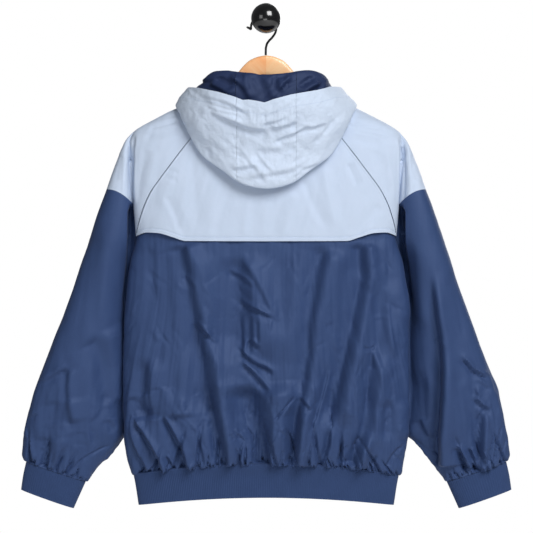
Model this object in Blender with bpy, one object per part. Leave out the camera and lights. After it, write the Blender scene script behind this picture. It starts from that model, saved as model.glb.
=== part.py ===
"""Hooded windbreaker jacket on a wooden hanger, hung from a ball-ended wall peg.

The frame is in metres with +Z up. The wall is the plane y = 0, the jacket's back
faces -Y, and +X is to the right of someone who looks at that back. The origin is
the centre of the peg's flat wall face. Tables and named sizes are in millimetres,
and a drop is a distance below the peg's axis.
"""

import math

import bpy
import numpy as np

MM = 0.001

# Cloth and seams
SHELL_WALL = 1.2
LINING_WALL = 1.0
RIB_WALL = 2.4
SEAM_GAP = 0.5
LINING_GAP = 0.5

# Shape of the sections
SLEEVE_SQUARENESS = 2.3
FRONT_SLEEVE_SHARE = 0.85
TUCKED_POINT = 0.75
SLEEVE_ROW_POWER = 1.15
SLEEVE_TOP_POWER = 8
BACK_ASPECT = 0.22
FRONT_ASPECT = 0.18
BODY_SQUARENESS = 3.0
ARMPIT_DROP = 376.0
ARMPIT_SIDE = 225.6

# Yoke flap
FLAP_LIFT = 3.0
FLAP_LIFT_POWER = 5.0
TUCK_HEIGHT = 22.0
TUCK_SIDE = 212.0
TUCK_FADE = 14.0
TUCK_INSET = 3.3
TUCK_FADE_TOP = 374.0
TUCK_FADE_BOTTOM = 392.0

# Neckline
BACK_NECK_DROP = 150.0
SHOULDER_NECK_SIDE = 84.0
SHOULDER_NECK_DROP = 127.0
FRONT_NECK_DROP = 212.0
HOOD_LIFT = 1.8

# Hem band
BAND_TOP_SIDE_DROP = 790.0
BAND_BOTTOM_SIDE_DROP = 841.0
BAND_RISE = {"back": 19.0, "front": 20.0}
BAND_BOTTOM_RISE = {"back": 14.0, "front": 17.0}
BAND_ASPECT = {"back": 0.13, "front": 0.10}
BAND_SQUARENESS = 2.8

# Zip
ZIP_EDGE = 6.0
ZIP_END_INSET = 2.0
CHAIN_DEPTH = 0.4
CHAIN_GAP = 0.4
CHAIN_HALF_WIDTH = 3.0
CHAIN_THICKNESS = 2.2
TAPE_OUTER = 17.0
TAPE_WALL = 0.8
TAPE_BEHIND_BAND = 1.2
SLIDER_DROP = 232.0
SLIDER_SIZE = (9.0, 3.6, 13.0)
SLIDER_RAISED = 0.4
BRIDGE_WIDTH = 2.4
BRIDGE_HALF = 5.2
BRIDGE_WALL = 1.2
BRIDGE_SOFTENED = 0.1
JOIN_DEPTH = 0.5
TUNNEL_HALF = 3.6
TUNNEL_HEIGHT = 3.0
TAB_WIDTH = 7.0
TAB_WALL = 1.4
TAB_LENGTH = 30.0
TAB_BAR = 1.6
TAB_EYE_HALF = 1.8
TAB_EYE_LENGTH = 10.0

# Hanger
HANGER_Y = -44.0
HANGER_TOP_DROP = 61.5
ARM_GAP = 0.3
ARM_SECTIONS = 15
ARM_CORNER = 0.3
WIRE_RADIUS = 2.0
LOOP_CENTRE = (-4.5, -13.9)
LOOP_RADIUS = 22.0
LOOP_START = 190.0
LOOP_END = -38.0
LOOP_STEPS = 24
HOOK_TIP = ((-34, -13), (-29.5, -14))
HOOK_BEND = ((5.5, -35.5), (1.2, -41.5), (-0.6, -48.5))
SHANK_X = -0.8
WIRE_GAP = 0.4

# Wall peg
PLATE_RADIUS = 20.0
PLATE_DEPTH = 6.0
PLATE_EDGE = 2.0
STEM_RADIUS = 5.0
BALL_CENTRE_Y = -76.0
BALL_RADIUS = 26.0
BALL_POLE = 0.06
PEG_GAP = 0.4


def table(columns, *rows):
    """The rows of a table as one array for each named column."""
    names = columns.split()
    return {name: np.array([row[i] for row in rows], float) for i, name in enumerate(names)}


# The garment from the neck to the hem: half width of the body (above the armpit, to the
# fold between body and sleeve), depth of back and front from the middle plane, the y of
# that plane, and the squareness of the section (2 is an ellipse).
BODY = table(
    "drop half_width back front middle squareness",
    (127, 83, 17, 13, -44, 2.0),
    (145, 132, 24, 17, -44, 2.1),
    (167, 181, 31, 22, -44, 2.2),
    (195, 229, 37, 26, -45, 2.4),
    (214, 236.5, 40, 28, -45, 2.5),
    (250, 234, 44, 31, -47, 2.6),
    (290, 231.5, 47, 34, -49, 2.8),
    (320, 229.5, 49, 35, -50, 2.9),
    (350, 227.5, 50, 37, -51, 3.0),
    (376, 225.6, 51, 38, -51, 3.0),
    (389, 227.4, 51, 38, -51, 3.0),
    (417, 235, 52, 39, -51, 3.0),
    (467, 241.5, 52, 40, -52, 3.0),
    (531, 246.5, 52, 40, -52, 3.0),
    (608, 247, 51, 40, -52, 3.0),
    (680, 246, 49, 39, -52, 3.0),
    (715, 245.5, 47, 38, -52, 3.0),
    (744, 242.6, 43, 35, -51, 3.0),
    (768, 237, 35, 28, -50, 2.9),
    (790, 229.5, 29, 23, -49, 2.8),
    (841, 221, 26, 21, -47, 2.6),
)

# The outer edge of shoulder and sleeve as seen from behind.
OUTLINE = table(
    "drop half_width",
    (127, 84), (135, 110), (145, 134), (155, 158), (167.2, 183), (181, 209),
    (195, 230.5), (208.8, 242.6), (222.7, 249.8), (250.4, 261), (278, 271),
    (295, 276.8), (333.6, 291), (376, 305),
)

# Between body and sleeve above the armpit: how far the groove's floor and the hump of
# the sleeve stand out from the middle plane.
GROOVE = table(
    "drop floor hump",
    (127, 0.5, 0.6), (195, 1.5, 2), (208, 6, 6), (222, 10, 14), (236, 10, 19),
    (264, 9, 24), (295, 8, 28), (333, 5, 33), (376, 1.8, 37), (380, 0.3, 37),
)

# The raglan shoulder from the neck down to the armpit: back and front seam, the fold
# line that becomes the groove, and the drop of the outer edge.
SHOULDER = table(
    "back_x back_drop front_x front_drop fold_x fold_drop edge_drop",
    (78, 143, 74, 160, 82, 134, 127),
    (103, 172.5, 100, 184, 118, 156, 143),
    (128.4, 203.6, 127, 210, 153, 178, 160),
    (149, 230, 149, 233, 185, 196, 176),
    (167.4, 254.8, 167.4, 256, 212, 209, 192),
    (184, 277, 184, 277, 234, 223, 208.8),
    (199, 298.4, 199, 298.4, 234.4, 243, 230),
    (213.5, 330, 213.5, 330, 232.9, 268, 252),
    (223, 362, 223, 362, 231.2, 295, 276),
    (225.2, 375.4, 225.2, 375.4, 229.5, 320.4, 294.8),
)

# The lower sleeve, section by section: outer and inner point as seen from behind, half
# depth, the y of its middle, how far the line between the two points bows upwards, and
# how far the inner edge is tucked towards the wall, behind the side of the body.
SLEEVE = table(
    "outer_x outer_drop inner_x inner_drop half_depth middle bow tuck",
    (276.7, 294.8, 229.5, 320.4, 29, -49, 7, 0),
    (291, 333.6, 228.4, 350, 34, -50, 4, 0),
    (305, 376, 226.7, 378.5, 37, -51, 1, 0),
    (318.8, 416.8, 238.2, 424, 39, -51, 0, 14),
    (333.2, 462, 238, 474, 40.5, -51, 0, 24),
    (346.6, 500, 239.5, 520, 41, -51, 0, 26),
    (367, 555.4, 240.5, 580, 40.5, -51, 0, 26),
    (388, 610.9, 240.5, 642, 39, -50, 0, 25),
    (403.8, 652.5, 240, 688, 37, -49, 0, 22),
    (414, 694, 241, 713, 35, -48, 0, 17),
    (420.5, 730, 262, 738, 32, -47, 0, 8),
    (421.5, 752, 285, 768, 27, -46, 0, 2),
    (416.2, 766.5, 313.3, 800.8, 21, -45, 0, 0),
)

CUFF = table(
    "outer_x outer_drop inner_x inner_drop half_depth middle",
    (416.3, 767.0, 313.4, 801.3, 20.8, -45),
    (421.6, 791, 324, 824.6, 19.5, -44.5),
    (425.1, 814.8, 334.1, 847.1, 18, -44),
)

# Lower edge of the yoke flap, from the centre back to the armpit.
FLAP = table(
    "x drop",
    (0, 385), (138, 384.4), (162, 377.5), (187, 370.7), (206, 369.7), (225.6, 375.6),
)

# Rings of the thrown-back hood, from the neck seam over the roll, down inside the pouch
# and up its outside to the face edge. Widths and depths are from the neck's centre; the
# drops are at the centre back, halfway to the side, at the side, halfway to the front
# and at the centre front.
HOOD_CENTRE_Y = -46.0
HOOD_RINGS = table(
    "along half_width back front drop_back drop_back_side drop_side drop_front_side drop_front",
    (0.00, 84, 24, 27, 148.5, 146, 125.7, 180, 210),
    (0.09, 97, 35, 28, 112, 104, 112, 160, 203),
    (0.14, 102, 41, 29, 102.5, 93.5, 108, 148, 199),
    (0.20, 106, 47, 30, 112, 104, 111, 145, 196),
    (0.42, 122, 62, 34, 215, 185, 128, 149, 190),
    (0.56, 134, 78, 38, 282, 243, 140, 156, 186),
    (0.62, 146, 96, 40, 288, 244, 145.5, 158, 184),
    (0.75, 158, 116, 42, 243, 204, 149, 154, 181),
    (0.90, 152, 115, 41, 185, 161, 134, 144, 177),
    (1.00, 140, 106, 38, 150, 129, 119, 134, 172),
)
HOOD_STRIP_HALF = 51.0
HOOD_FRONT_ANGLE = 174.0
HOOD_CALM = 3
HOOD_CLEARANCE = 4.5
HOOD_SEAM_GAP = 1.1

# The largest soft folds of the back and of the sleeves: ends, half width, height.
BACK_FOLDS = table(
    "top_x top_drop low_x low_drop half_width height",
    (-145, 400, -72, 760, 17, 5),
    (-72, 420, 6, 735, 15, 4),
    (172, 400, 112, 750, 17, 5),
    (98, 430, 56, 740, 14, 3.5),
    (190, 570, 142, 775, 14, 4),
    (-231, 700, -178, 785, 12, 4),
)

# Hanger arm: top and bottom edge, width across, and y, from the centre to the tip.
ARM = table(
    "x top bottom thickness y",
    (0.0, 61.5, 97, 14, -44),
    (13, 63.8, 101, 14, -44),
    (28, 70, 109, 14, -44),
    (40, 80.5, 118, 14, -43.8),
    (52, 96, 130, 14, -43.6),
    (68, 121, 147, 13, -43.6),
    (90, 140, 163, 12, -43.8),
    (130, 155, 177, 11, -44),
    (175, 174.5, 194, 10.5, -44),
    (208, 194, 211, 10, -44.3),
    (222, 206, 216, 8, -44.5),
)

FINISHES = {
    "navy_shell": ((0.045, 0.08, 0.20), 0.5, 0.0),
    "light_blue_shell": ((0.53, 0.64, 0.80), 0.45, 0.0),
    "navy_rib": ((0.035, 0.065, 0.155), 0.85, 0.0),
    "navy_lining": ((0.03, 0.055, 0.15), 0.6, 0.0),
    "zip_tape": ((0.03, 0.05, 0.13), 0.8, 0.0),
    "zip_coil": ((0.03, 0.05, 0.13), 0.4, 0.0),
    "zip_metal": ((0.10, 0.10, 0.11), 0.35, 0.9),
    "hanger_wood": ((0.90, 0.53, 0.28), 0.45, 0.0),
    "black_wire": ((0.01, 0.01, 0.01), 0.35, 0.3),
    "black_gloss": ((0.006, 0.006, 0.006), 0.12, 0.0),
}


# ---------------------------------------------------------------- curves and sections


def smooth(at, knots, values):
    """A smooth curve through the knots that never overshoots them, held beyond its ends."""
    at = np.clip(np.asarray(at, float), knots[0], knots[-1])
    step = np.diff(knots)
    rise = np.diff(values) / step
    slope = np.zeros(len(knots))
    same_way = rise[:-1] * rise[1:] > 0
    weight_1 = 2 * step[1:] + step[:-1]
    weight_2 = step[1:] + 2 * step[:-1]
    with np.errstate(divide="ignore", invalid="ignore"):
        mean = (weight_1 + weight_2) / (weight_1 / rise[:-1] + weight_2 / rise[1:])
    slope[1:-1] = np.where(same_way, mean, 0.0)
    slope[0] = rise[0]
    slope[-1] = rise[-1]
    i = np.clip(np.searchsorted(knots, at, side="right") - 1, 0, len(step) - 1)
    t = (at - knots[i]) / step[i]
    return (
        values[i] * (1 + 2 * t) * (1 - t) ** 2
        + slope[i] * step[i] * t * (1 - t) ** 2
        + values[i + 1] * t * t * (3 - 2 * t)
        + slope[i + 1] * step[i] * t * t * (t - 1)
    )


def fade(value, start, end):
    """0 before start, 1 after end, and an even S between them."""
    t = np.clip((value - start) / (end - start), 0, 1)
    return t * t * (3 - 2 * t)


def along(share, column):
    """A table column as a smooth function of the share of its rows passed, 0 to 1."""
    return smooth(share, np.linspace(0, 1, len(column)), column)


def body_at(drop, column):
    """A column of the body's table at a drop."""
    return smooth(drop, BODY["drop"], BODY[column])


def outline_at(drop):
    """Half width of shoulder and sleeve together at a drop."""
    return smooth(drop, OUTLINE["drop"], OUTLINE["half_width"])


def superellipse(share, power):
    """Height of a unit superellipse at a share of its half width."""
    return (1 - np.clip(np.abs(share), 0, 1) ** power) ** (1 / power)


def fold_relief(x, drop):
    """Soft ridges of the back: a bell across each fold's line, faded at both ends."""
    relief = np.zeros(np.broadcast(x, drop).shape)
    for i in range(len(BACK_FOLDS["height"])):
        fold = {name: column[i] for name, column in BACK_FOLDS.items()}
        share = (drop - fold["top_drop"]) / (fold["low_drop"] - fold["top_drop"])
        line_x = fold["top_x"] + (fold["low_x"] - fold["top_x"]) * share
        bell = np.exp(-(((x - line_x) / fold["half_width"]) ** 2))
        ends = fade(share, -0.02, 0.3) * fade(share, 1.02, 0.75)
        relief = relief + fold["height"] * bell * ends
    return relief


def garment_depth(x, drop, side, inset=0.0):
    """Distance of the cloth from the middle plane at a place seen from behind."""
    size = np.abs(x)
    half = body_at(drop, "half_width") - inset
    full = body_at(drop, side) - inset
    floor = smooth(drop, GROOVE["drop"], GROOVE["floor"])
    hump = smooth(drop, GROOVE["drop"], GROOVE["hump"])
    if side == "front":
        hump = np.maximum(hump * FRONT_SLEEVE_SHARE, floor)
    body = floor + (full - floor) * superellipse(size / half, body_at(drop, "squareness"))
    across = np.clip((size - half) / np.maximum(outline_at(drop) - half, 0.5), 0, 1)
    arch = superellipse(2 * across - 1, SLEEVE_SQUARENESS)
    sleeve = np.where(across < 0.5, floor + (hump - floor) * arch, hump * arch)
    return np.where(size <= half, body, sleeve)


def garment_points(x, drop, side, inset=0.0, extra=0.0):
    """Points of the cloth: x and height as seen from behind, y from the depth there."""
    x, drop, extra = np.broadcast_arrays(x, drop, extra)
    depth = garment_depth(x, drop, side, inset) + extra
    sign = -1.0 if side == "back" else 1.0
    y = body_at(drop, "middle") + sign * depth
    return np.stack([x, y, -drop], axis=-1)


def even_shares(cells, aspect, power):
    """Shares of the half width, -1 to 1, evenly spaced round a half superellipse."""
    angle = np.linspace(0, math.pi, 2001)
    x = -np.sign(np.cos(angle)) * np.abs(np.cos(angle)) ** (2 / power)
    depth = aspect * np.sin(angle) ** (2 / power)
    length = np.concatenate([[0], np.cumsum(np.hypot(np.diff(x), np.diff(depth)))])
    return np.interp(np.linspace(0, length[-1], cells + 1), length, x)


def mirrored(grid):
    """The same grid on the other side, with its columns turned round to face outwards."""
    return grid[:, ::-1] * np.array([-1.0, 1.0, 1.0])


# ---------------------------------------------------------------- solids


def finish(name):
    """The Principled material of that name, made once."""
    found = bpy.data.materials.get(name)
    if found:
        return found
    colour, roughness, metallic = FINISHES[name]
    material = bpy.data.materials.new(name)
    material.use_nodes = True
    material.diffuse_color = (*colour, 1)
    shader = material.node_tree.nodes["Principled BSDF"]
    shader.inputs["Base Color"].default_value = (*colour, 1)
    shader.inputs["Roughness"].default_value = roughness
    shader.inputs["Metallic"].default_value = metallic
    return material


def solid(name, points, faces, material, smooth_shading=True, origin=(0, 0, 0)):
    """An object from points in millimetres, with its origin at the given point."""
    mesh = bpy.data.meshes.new(name)
    local = (np.asarray(points, float) - np.array(origin)) * MM
    mesh.from_pydata(local.tolist(), [], faces)
    mesh.materials.append(finish(material))
    if smooth_shading:
        mesh.shade_smooth()
        mesh.set_sharp_from_angle(angle=math.radians(40))
    part = bpy.data.objects.new(name, mesh)
    part.location = [value * MM for value in origin]
    bpy.context.scene.collection.objects.link(part)
    return part


def grid_quads(rows, columns, around):
    """Corner numbers of each cell of a grid whose columns may close into a ring."""
    last = columns if around else columns - 1
    return [
        (i * columns + j, i * columns + (j + 1) % columns,
         (i + 1) * columns + (j + 1) % columns, (i + 1) * columns + j)
        for i in range(rows - 1)
        for j in range(last)
    ]


def grid_normals(grid, around):
    """Normal at each point of a grid: the mean of the cells that meet there."""
    rows, columns, _ = grid.shape
    points = grid.reshape(-1, 3)
    quads = np.array(grid_quads(rows, columns, around))
    diagonal_1 = points[quads[:, 2]] - points[quads[:, 0]]
    diagonal_2 = points[quads[:, 3]] - points[quads[:, 1]]
    faces = np.cross(diagonal_1, diagonal_2)
    normals = np.zeros_like(points)
    for corner in range(4):
        np.add.at(normals, quads[:, corner], faces)
    length = np.linalg.norm(normals, axis=1, keepdims=True)
    return (normals / np.maximum(length, 1e-9)).reshape(grid.shape)


def calmed(normals, passes):
    """Normals evened out with their neighbours, so a wall can follow a tight fold."""
    for _ in range(passes):
        padded = np.pad(normals, ((1, 1), (1, 1), (0, 0)), mode="edge")
        crosswise = padded[1:-1, :-2] + padded[1:-1, 2:]
        lengthwise = padded[:-2, 1:-1] + padded[2:, 1:-1]
        normals = 2 * normals + crosswise + lengthwise
        normals /= np.linalg.norm(normals, axis=2, keepdims=True)
    return normals


def wall(name, grid, thickness, material, around=False, start=0.0, side_columns=(), calm=0):
    """A closed wall of cloth: the grid moved in by start, its copy one thickness
    further in, and rims between the two. Each cell is cut along the same diagonal, so
    walls made from one grid stay parallel. At the side columns, which lie on the middle
    plane, the thickness runs along that plane."""
    rows, columns, _ = grid.shape
    normals = calmed(grid_normals(grid, around), calm)
    for column in side_columns:
        flat = normals[:, column] * np.array([1.0, 0.0, 1.0])
        normals[:, column] = flat / np.linalg.norm(flat, axis=1, keepdims=True)
    outer = grid - normals * start
    inner = grid - normals * (start + thickness)
    points = np.concatenate([outer.reshape(-1, 3), inner.reshape(-1, 3)])
    count = rows * columns
    halves = [
        half
        for a, b, c, d in grid_quads(rows, columns, around)
        for half in ((a, b, c), (a, c, d))
    ]
    faces = halves + [tuple(count + corner for corner in half[::-1]) for half in halves]
    top = list(range(columns))
    bottom = [(rows - 1) * columns + j for j in range(columns)]
    if around:
        rims = [top[::-1] + top[-1:], bottom + bottom[:1]]
    else:
        left = [i * columns for i in range(rows)]
        right = [i * columns + columns - 1 for i in range(rows)]
        rims = [left + bottom[1:] + right[::-1][1:] + top[::-1][1:]]
    for rim in rims:
        faces += [(b, a, count + a, count + b)[::-1] for a, b in zip(rim[:-1], rim[1:])]
    return solid(name, points, faces, material)


def loft(name, rings, material, origin=(0, 0, 0), smooth_shading=True):
    """A solid through rings of points, with flat ends. The rings may run either way
    round: they are turned to face outwards."""
    rings = np.asarray(rings, float)
    count, sides, _ = rings.shape
    spine = rings[1].mean(axis=0) - rings[0].mean(axis=0)
    turn = np.cross(rings[0] - rings[0].mean(axis=0), np.roll(rings[0], -1, axis=0)).sum(axis=0)
    if np.dot(turn, spine) < 0:
        rings = rings[:, ::-1]
    faces = [quad for quad in grid_quads(count, sides, True)]
    faces.append(tuple(reversed(range(sides))))
    faces.append(tuple(range((count - 1) * sides, count * sides)))
    return solid(name, rings.reshape(-1, 3), faces, material, smooth_shading, origin)


def block(name, low, high, material, origin=(0, 0, 0)):
    """A plain box between two corners."""
    x0, y0, z0 = low
    x1, y1, z1 = high
    ring = [(x0, y0), (x0, y1), (x1, y1), (x1, y0)]
    rings = [[(x, y, z) for x, y in ring] for z in (z0, z1)]
    return loft(name, rings, material, origin, smooth_shading=False)


def boolean(target, operation, pieces):
    """Joins pieces to the target or cuts them from it. They stay as hidden guides."""
    for piece in pieces:
        step = target.modifiers.new(operation.lower() + " " + piece.name, "BOOLEAN")
        step.operation = operation
        step.object = piece
        piece.hide_render = True
        piece.display_type = "WIRE"


# ---------------------------------------------------------------- body of the jacket


def seam_shares(rows):
    """Row shares from 0 to 1 as a column."""
    return np.linspace(0, 1, rows + 1)[:, None]


def make_back_yoke(rows=9, cells=18):
    """Back yoke between the raglan seams, from the neck to the free edge of the flap."""
    share = seam_shares(rows)
    seam_x = along(share, SHOULDER["back_x"]) - SEAM_GAP / 2
    seam_drop = along(share, SHOULDER["back_drop"])
    across = np.sin(np.linspace(1, -1, cells + 1) * math.pi / 2)[None, :]
    x = seam_x * across
    down = (seam_drop - seam_drop[0]) / (seam_drop[-1] - seam_drop[0])
    neck = (BACK_NECK_DROP - SHOULDER["back_drop"][0]) * (1 - across**2)
    flap = smooth(np.abs(across) * ARMPIT_SIDE, FLAP["x"], FLAP["drop"]) - FLAP["drop"][-1]
    drop = seam_drop + (1 - down) * neck + down * flap
    lift = FLAP_LIFT * down**FLAP_LIFT_POWER * (1 - across**4)
    grid = garment_points(x, drop, "back", extra=lift)
    return wall("back_yoke", grid, SHELL_WALL, "light_blue_shell")


def band_edges(shares, side):
    """Drops of the hem band's upper and lower edge at shares of the half width: both
    rise in a bow from the side seams to the centre."""
    bow = 1 - shares**2
    top = BAND_TOP_SIDE_DROP - BAND_RISE[side] * bow
    bottom = BAND_BOTTOM_SIDE_DROP - BAND_BOTTOM_RISE[side] * bow
    return top, bottom


def body_grid(shares, top, side, rows, relief):
    """Body cloth at shares of the half width, from a top edge down to the hem band."""
    bottom = band_edges(shares, side)[0] - SEAM_GAP
    drop = top + seam_shares(rows) * (bottom - top)
    tucked = TUCK_INSET * fade(drop, TUCK_FADE_BOTTOM, TUCK_FADE_TOP)
    x = shares * (body_at(drop, "half_width") - tucked)
    inset = tucked if side == "back" else 0.0
    extra = fold_relief(x, drop) * superellipse(shares, 4) if relief else 0.0
    return garment_points(x, drop, side, inset=inset, extra=extra)


def make_back_body(rows=12, cells=22):
    """Back of the body, from under the yoke flap to the hem band."""
    shares = -even_shares(cells, BACK_ASPECT, BODY_SQUARENESS)[None, :]
    side = np.abs(shares) * ARMPIT_SIDE
    flap = smooth(side, FLAP["x"], FLAP["drop"]) + 2 * SEAM_GAP
    top = flap - TUCK_HEIGHT * fade(side, TUCK_SIDE, TUCK_SIDE - TUCK_FADE)
    grid = body_grid(shares, top, "back", rows, relief=True)
    return wall("back_body", grid, SHELL_WALL, "navy_shell", side_columns=(0, -1))


def front_shares(cells):
    """Shares of the half width from the side seam to the zip, for one front."""
    shares = even_shares(2 * cells, FRONT_ASPECT, BODY_SQUARENESS)[: cells + 1]
    zip_share = -ZIP_EDGE / ARMPIT_SIDE
    return -1 + (shares + 1) * (zip_share + 1)


def make_front_bodies(rows=12, cells=10):
    """Front of the body on both sides of the zip, below the straight yoke seam."""
    shares = front_shares(cells)[None, :]
    top = np.full_like(shares, ARMPIT_DROP + 2 * SEAM_GAP)
    grid = body_grid(shares, top, "front", rows, relief=False)
    grid[:, -1, 0] = -ZIP_EDGE
    wall("front_body_left", grid, SHELL_WALL, "navy_shell", side_columns=(0,))
    wall("front_body_right", mirrored(grid), SHELL_WALL, "navy_shell", side_columns=(-1,))


def front_neck_bow(across):
    """How far the front neckline hangs below a straight line, as a share of its fall."""
    return 1 - across**2.4


def make_front_yokes(rows=9, cells=7):
    """Front yokes between raglan seam and zip, from the neckline to the straight seam."""
    share = seam_shares(rows)
    seam_x = along(share, SHOULDER["front_x"]) - SEAM_GAP / 2
    seam_drop = along(share, SHOULDER["front_drop"])
    down = (seam_drop - seam_drop[0]) / (seam_drop[-1] - seam_drop[0])
    across = np.sin(np.linspace(1, 0, cells + 1) * math.pi / 2)[None, :]
    x = -(ZIP_EDGE + (seam_x - ZIP_EDGE) * across)
    neck = (FRONT_NECK_DROP - SHOULDER["front_drop"][0]) * front_neck_bow(across)
    drop = seam_drop + (1 - down) * neck
    grid = garment_points(x, drop, "front")
    wall("front_yoke_left", grid, SHELL_WALL, "light_blue_shell")
    wall("front_yoke_right", mirrored(grid), SHELL_WALL, "light_blue_shell")


# ---------------------------------------------------------------- shoulders and sleeves

FOLD_CELLS = 2
HALF_CELLS = 7
FOLD_ANGLE = 0.12 * math.pi


def ring_angles():
    """Angles round a sleeve from the inner side over the back to the outer edge."""
    inner = np.linspace(0, FOLD_ANGLE, FOLD_CELLS + 1)
    outer = np.linspace(FOLD_ANGLE, math.pi, HALF_CELLS - FOLD_CELLS + 1)
    return np.concatenate([inner, outer[1:]])


def outer_shares():
    """Shares of the way from the fold to the outer edge at those angles."""
    angle = ring_angles()[FOLD_CELLS:]
    turned = math.pi * (angle - FOLD_ANGLE) / (math.pi - FOLD_ANGLE)
    return (1 - np.cos(turned)) / 2


def armpit_shares():
    """Where the shoulder's lower edge passes down the fold: 0 armpit, 1 colour line."""
    return ring_angles()[: FOLD_CELLS + 1] / FOLD_ANGLE


def shoulder_half(side, rows):
    """One side of a raglan shoulder, from its seam to the outer edge."""
    share = seam_shares(rows)
    seam_x = along(share, SHOULDER[side + "_x"]) + SEAM_GAP / 2
    seam_drop = along(share, SHOULDER[side + "_drop"])
    fold_x = along(share, SHOULDER["fold_x"])
    fold_drop = along(share, SHOULDER["fold_drop"])
    edge_drop = along(share, SHOULDER["edge_drop"])
    edge_x = outline_at(edge_drop)
    to_fold = armpit_shares()[None, :]
    spread = to_fold ** (1 - 0.5 * (1 - share))
    inner_x = seam_x + (fold_x - seam_x) * spread
    inner_drop = seam_drop + (fold_drop - seam_drop) * spread
    to_edge = outer_shares()[None, 1:]
    outer_x = fold_x + (edge_x - fold_x) * to_edge
    bow = SLEEVE["bow"][0] * share**4 * 4 * to_edge * (1 - to_edge)
    outer_drop = fold_drop + (edge_drop - fold_drop) * to_edge - bow
    x = np.concatenate([inner_x, outer_x], axis=1)
    drop = np.concatenate([inner_drop, outer_drop], axis=1)
    x[-1, : FOLD_CELLS + 1] = body_at(drop[-1, : FOLD_CELLS + 1], "half_width")
    return garment_points(-x, drop, side)


def make_shoulders(rows=9):
    """Raglan shoulders: one piece from the back seam over the top to the front seam."""
    back = shoulder_half("back", rows)
    front = shoulder_half("front", rows)
    grid = np.concatenate([back, front[:, ::-1][:, 1:]], axis=1)
    wall("shoulder_left", grid, SHELL_WALL, "light_blue_shell")
    wall("shoulder_right", mirrored(grid), SHELL_WALL, "light_blue_shell")


def sleeve_half(side, rows, sign):
    """One side of the lower sleeve from the colour line to the cuff seam."""
    armpit_row = 2 / (len(SLEEVE["bow"]) - 1)
    angle = ring_angles()[None, :]
    start = armpit_row * np.clip(1 - angle / FOLD_ANGLE, 0, 1)
    share = start + seam_shares(rows) ** SLEEVE_ROW_POWER * (1 - start)
    skipped = FOLD_ANGLE * np.clip(1 - share / armpit_row, 0, 1)
    turned = math.pi * np.clip(angle - skipped, 0, None) / (math.pi - skipped)
    across = (1 - np.cos(turned)) / 2
    column = {name: along(share, values) for name, values in SLEEVE.items()}
    x = column["inner_x"] + (column["outer_x"] - column["inner_x"]) * across
    drop = column["inner_drop"] + (column["outer_drop"] - column["inner_drop"]) * across
    drop = drop - column["bow"] * 4 * across * (1 - across)
    own_share = 1.0 if side == "back" else FRONT_SLEEVE_SHARE
    tucked = np.where(turned < math.pi / 2, column["tuck"] / SLEEVE["tuck"].max(), 0)
    power = 2 / SLEEVE_SQUARENESS + TUCKED_POINT * tucked
    own = column["half_depth"] * own_share * np.sin(turned) ** power
    tuck = column["tuck"] * ((1 + np.cos(turned)) / 2) ** 3
    own_y = column["middle"] + sign * own + tuck
    held = np.minimum(drop, ARMPIT_DROP)
    held_y = garment_points(x, held, side)[..., 1]
    free = fade(share, 0, armpit_row)
    y = held_y + (own_y - held_y) * free
    return np.stack([-x, y, -drop], axis=-1)


def make_sleeves(rows=12):
    """Lower sleeves: tubes whose top edge follows the colour line and the armpit fold."""
    back = sleeve_half("back", rows, -1)
    front = sleeve_half("front", rows, 1)
    grid = np.concatenate([back, front[:, ::-1][:, 1:-1]], axis=1)
    clear = SEAM_GAP * (1 - seam_shares(rows)) ** SLEEVE_TOP_POWER
    grid[..., 2] -= clear
    grid[:, 0, 0] -= clear[:, 0]
    wall("sleeve_left", grid, SHELL_WALL, "navy_shell", around=True)
    wall("sleeve_right", mirrored(grid), SHELL_WALL, "navy_shell", around=True)


def make_cuffs(rows=2, cells=14):
    """Rib knit cuffs: flat tubes that narrow a little to the hand."""
    share = seam_shares(rows)
    angle = np.linspace(0, 2 * math.pi, cells + 1)[None, :-1]
    across = (1 - np.cos(angle)) / 2
    column = {name: along(share, values) for name, values in CUFF.items()}
    x = column["inner_x"] + (column["outer_x"] - column["inner_x"]) * across
    drop = column["inner_drop"] + (column["outer_drop"] - column["inner_drop"]) * across
    depth = np.sign(np.sin(angle)) * np.abs(np.sin(angle)) ** (2 / SLEEVE_SQUARENESS)
    y = column["middle"] - column["half_depth"] * depth
    grid = np.stack([-x, y, -drop], axis=-1)
    wall("cuff_left", grid, RIB_WALL, "navy_rib", around=True)
    wall("cuff_right", mirrored(grid), RIB_WALL, "navy_rib", around=True)


def make_hem_band(rows=2, cells=40):
    """Rib knit band round the hem, open at the zip."""
    quarter_cells = cells // 4
    cell = np.arange(cells + 1)
    half = body_at(BAND_TOP_SIDE_DROP, "half_width")
    back = even_shares(cells // 2, BAND_ASPECT["back"], BAND_SQUARENESS)
    quarter = even_shares(cells // 2, BAND_ASPECT["front"], BAND_SQUARENESS)[: quarter_cells + 1]
    front = -1 + (quarter + 1) * (1 - ZIP_EDGE / half)
    shares = np.concatenate([front[::-1], back[1:-1], -front])
    left_front = cell <= quarter_cells
    right_front = cell >= 3 * quarter_cells
    is_back = (cell >= quarter_cells) & (cell <= 3 * quarter_cells)
    down = seam_shares(rows)
    parts = []
    for side, chosen in (("front", left_front), ("back", is_back), ("front", right_front)):
        across = shares[chosen][None, :]
        top, bottom = band_edges(across, side)
        drop = top + down * (bottom - top)
        x = across * body_at(drop, "half_width")
        parts.append(garment_points(x, drop, side))
    parts[1] = parts[1][:, 1:-1]
    grid = np.concatenate(parts, axis=1)
    grid[:, 0, 0] = -ZIP_EDGE
    grid[:, -1, 0] = ZIP_EDGE
    return wall("hem_band", grid[:, ::-1], RIB_WALL, "navy_rib")


# ---------------------------------------------------------------- hood


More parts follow.
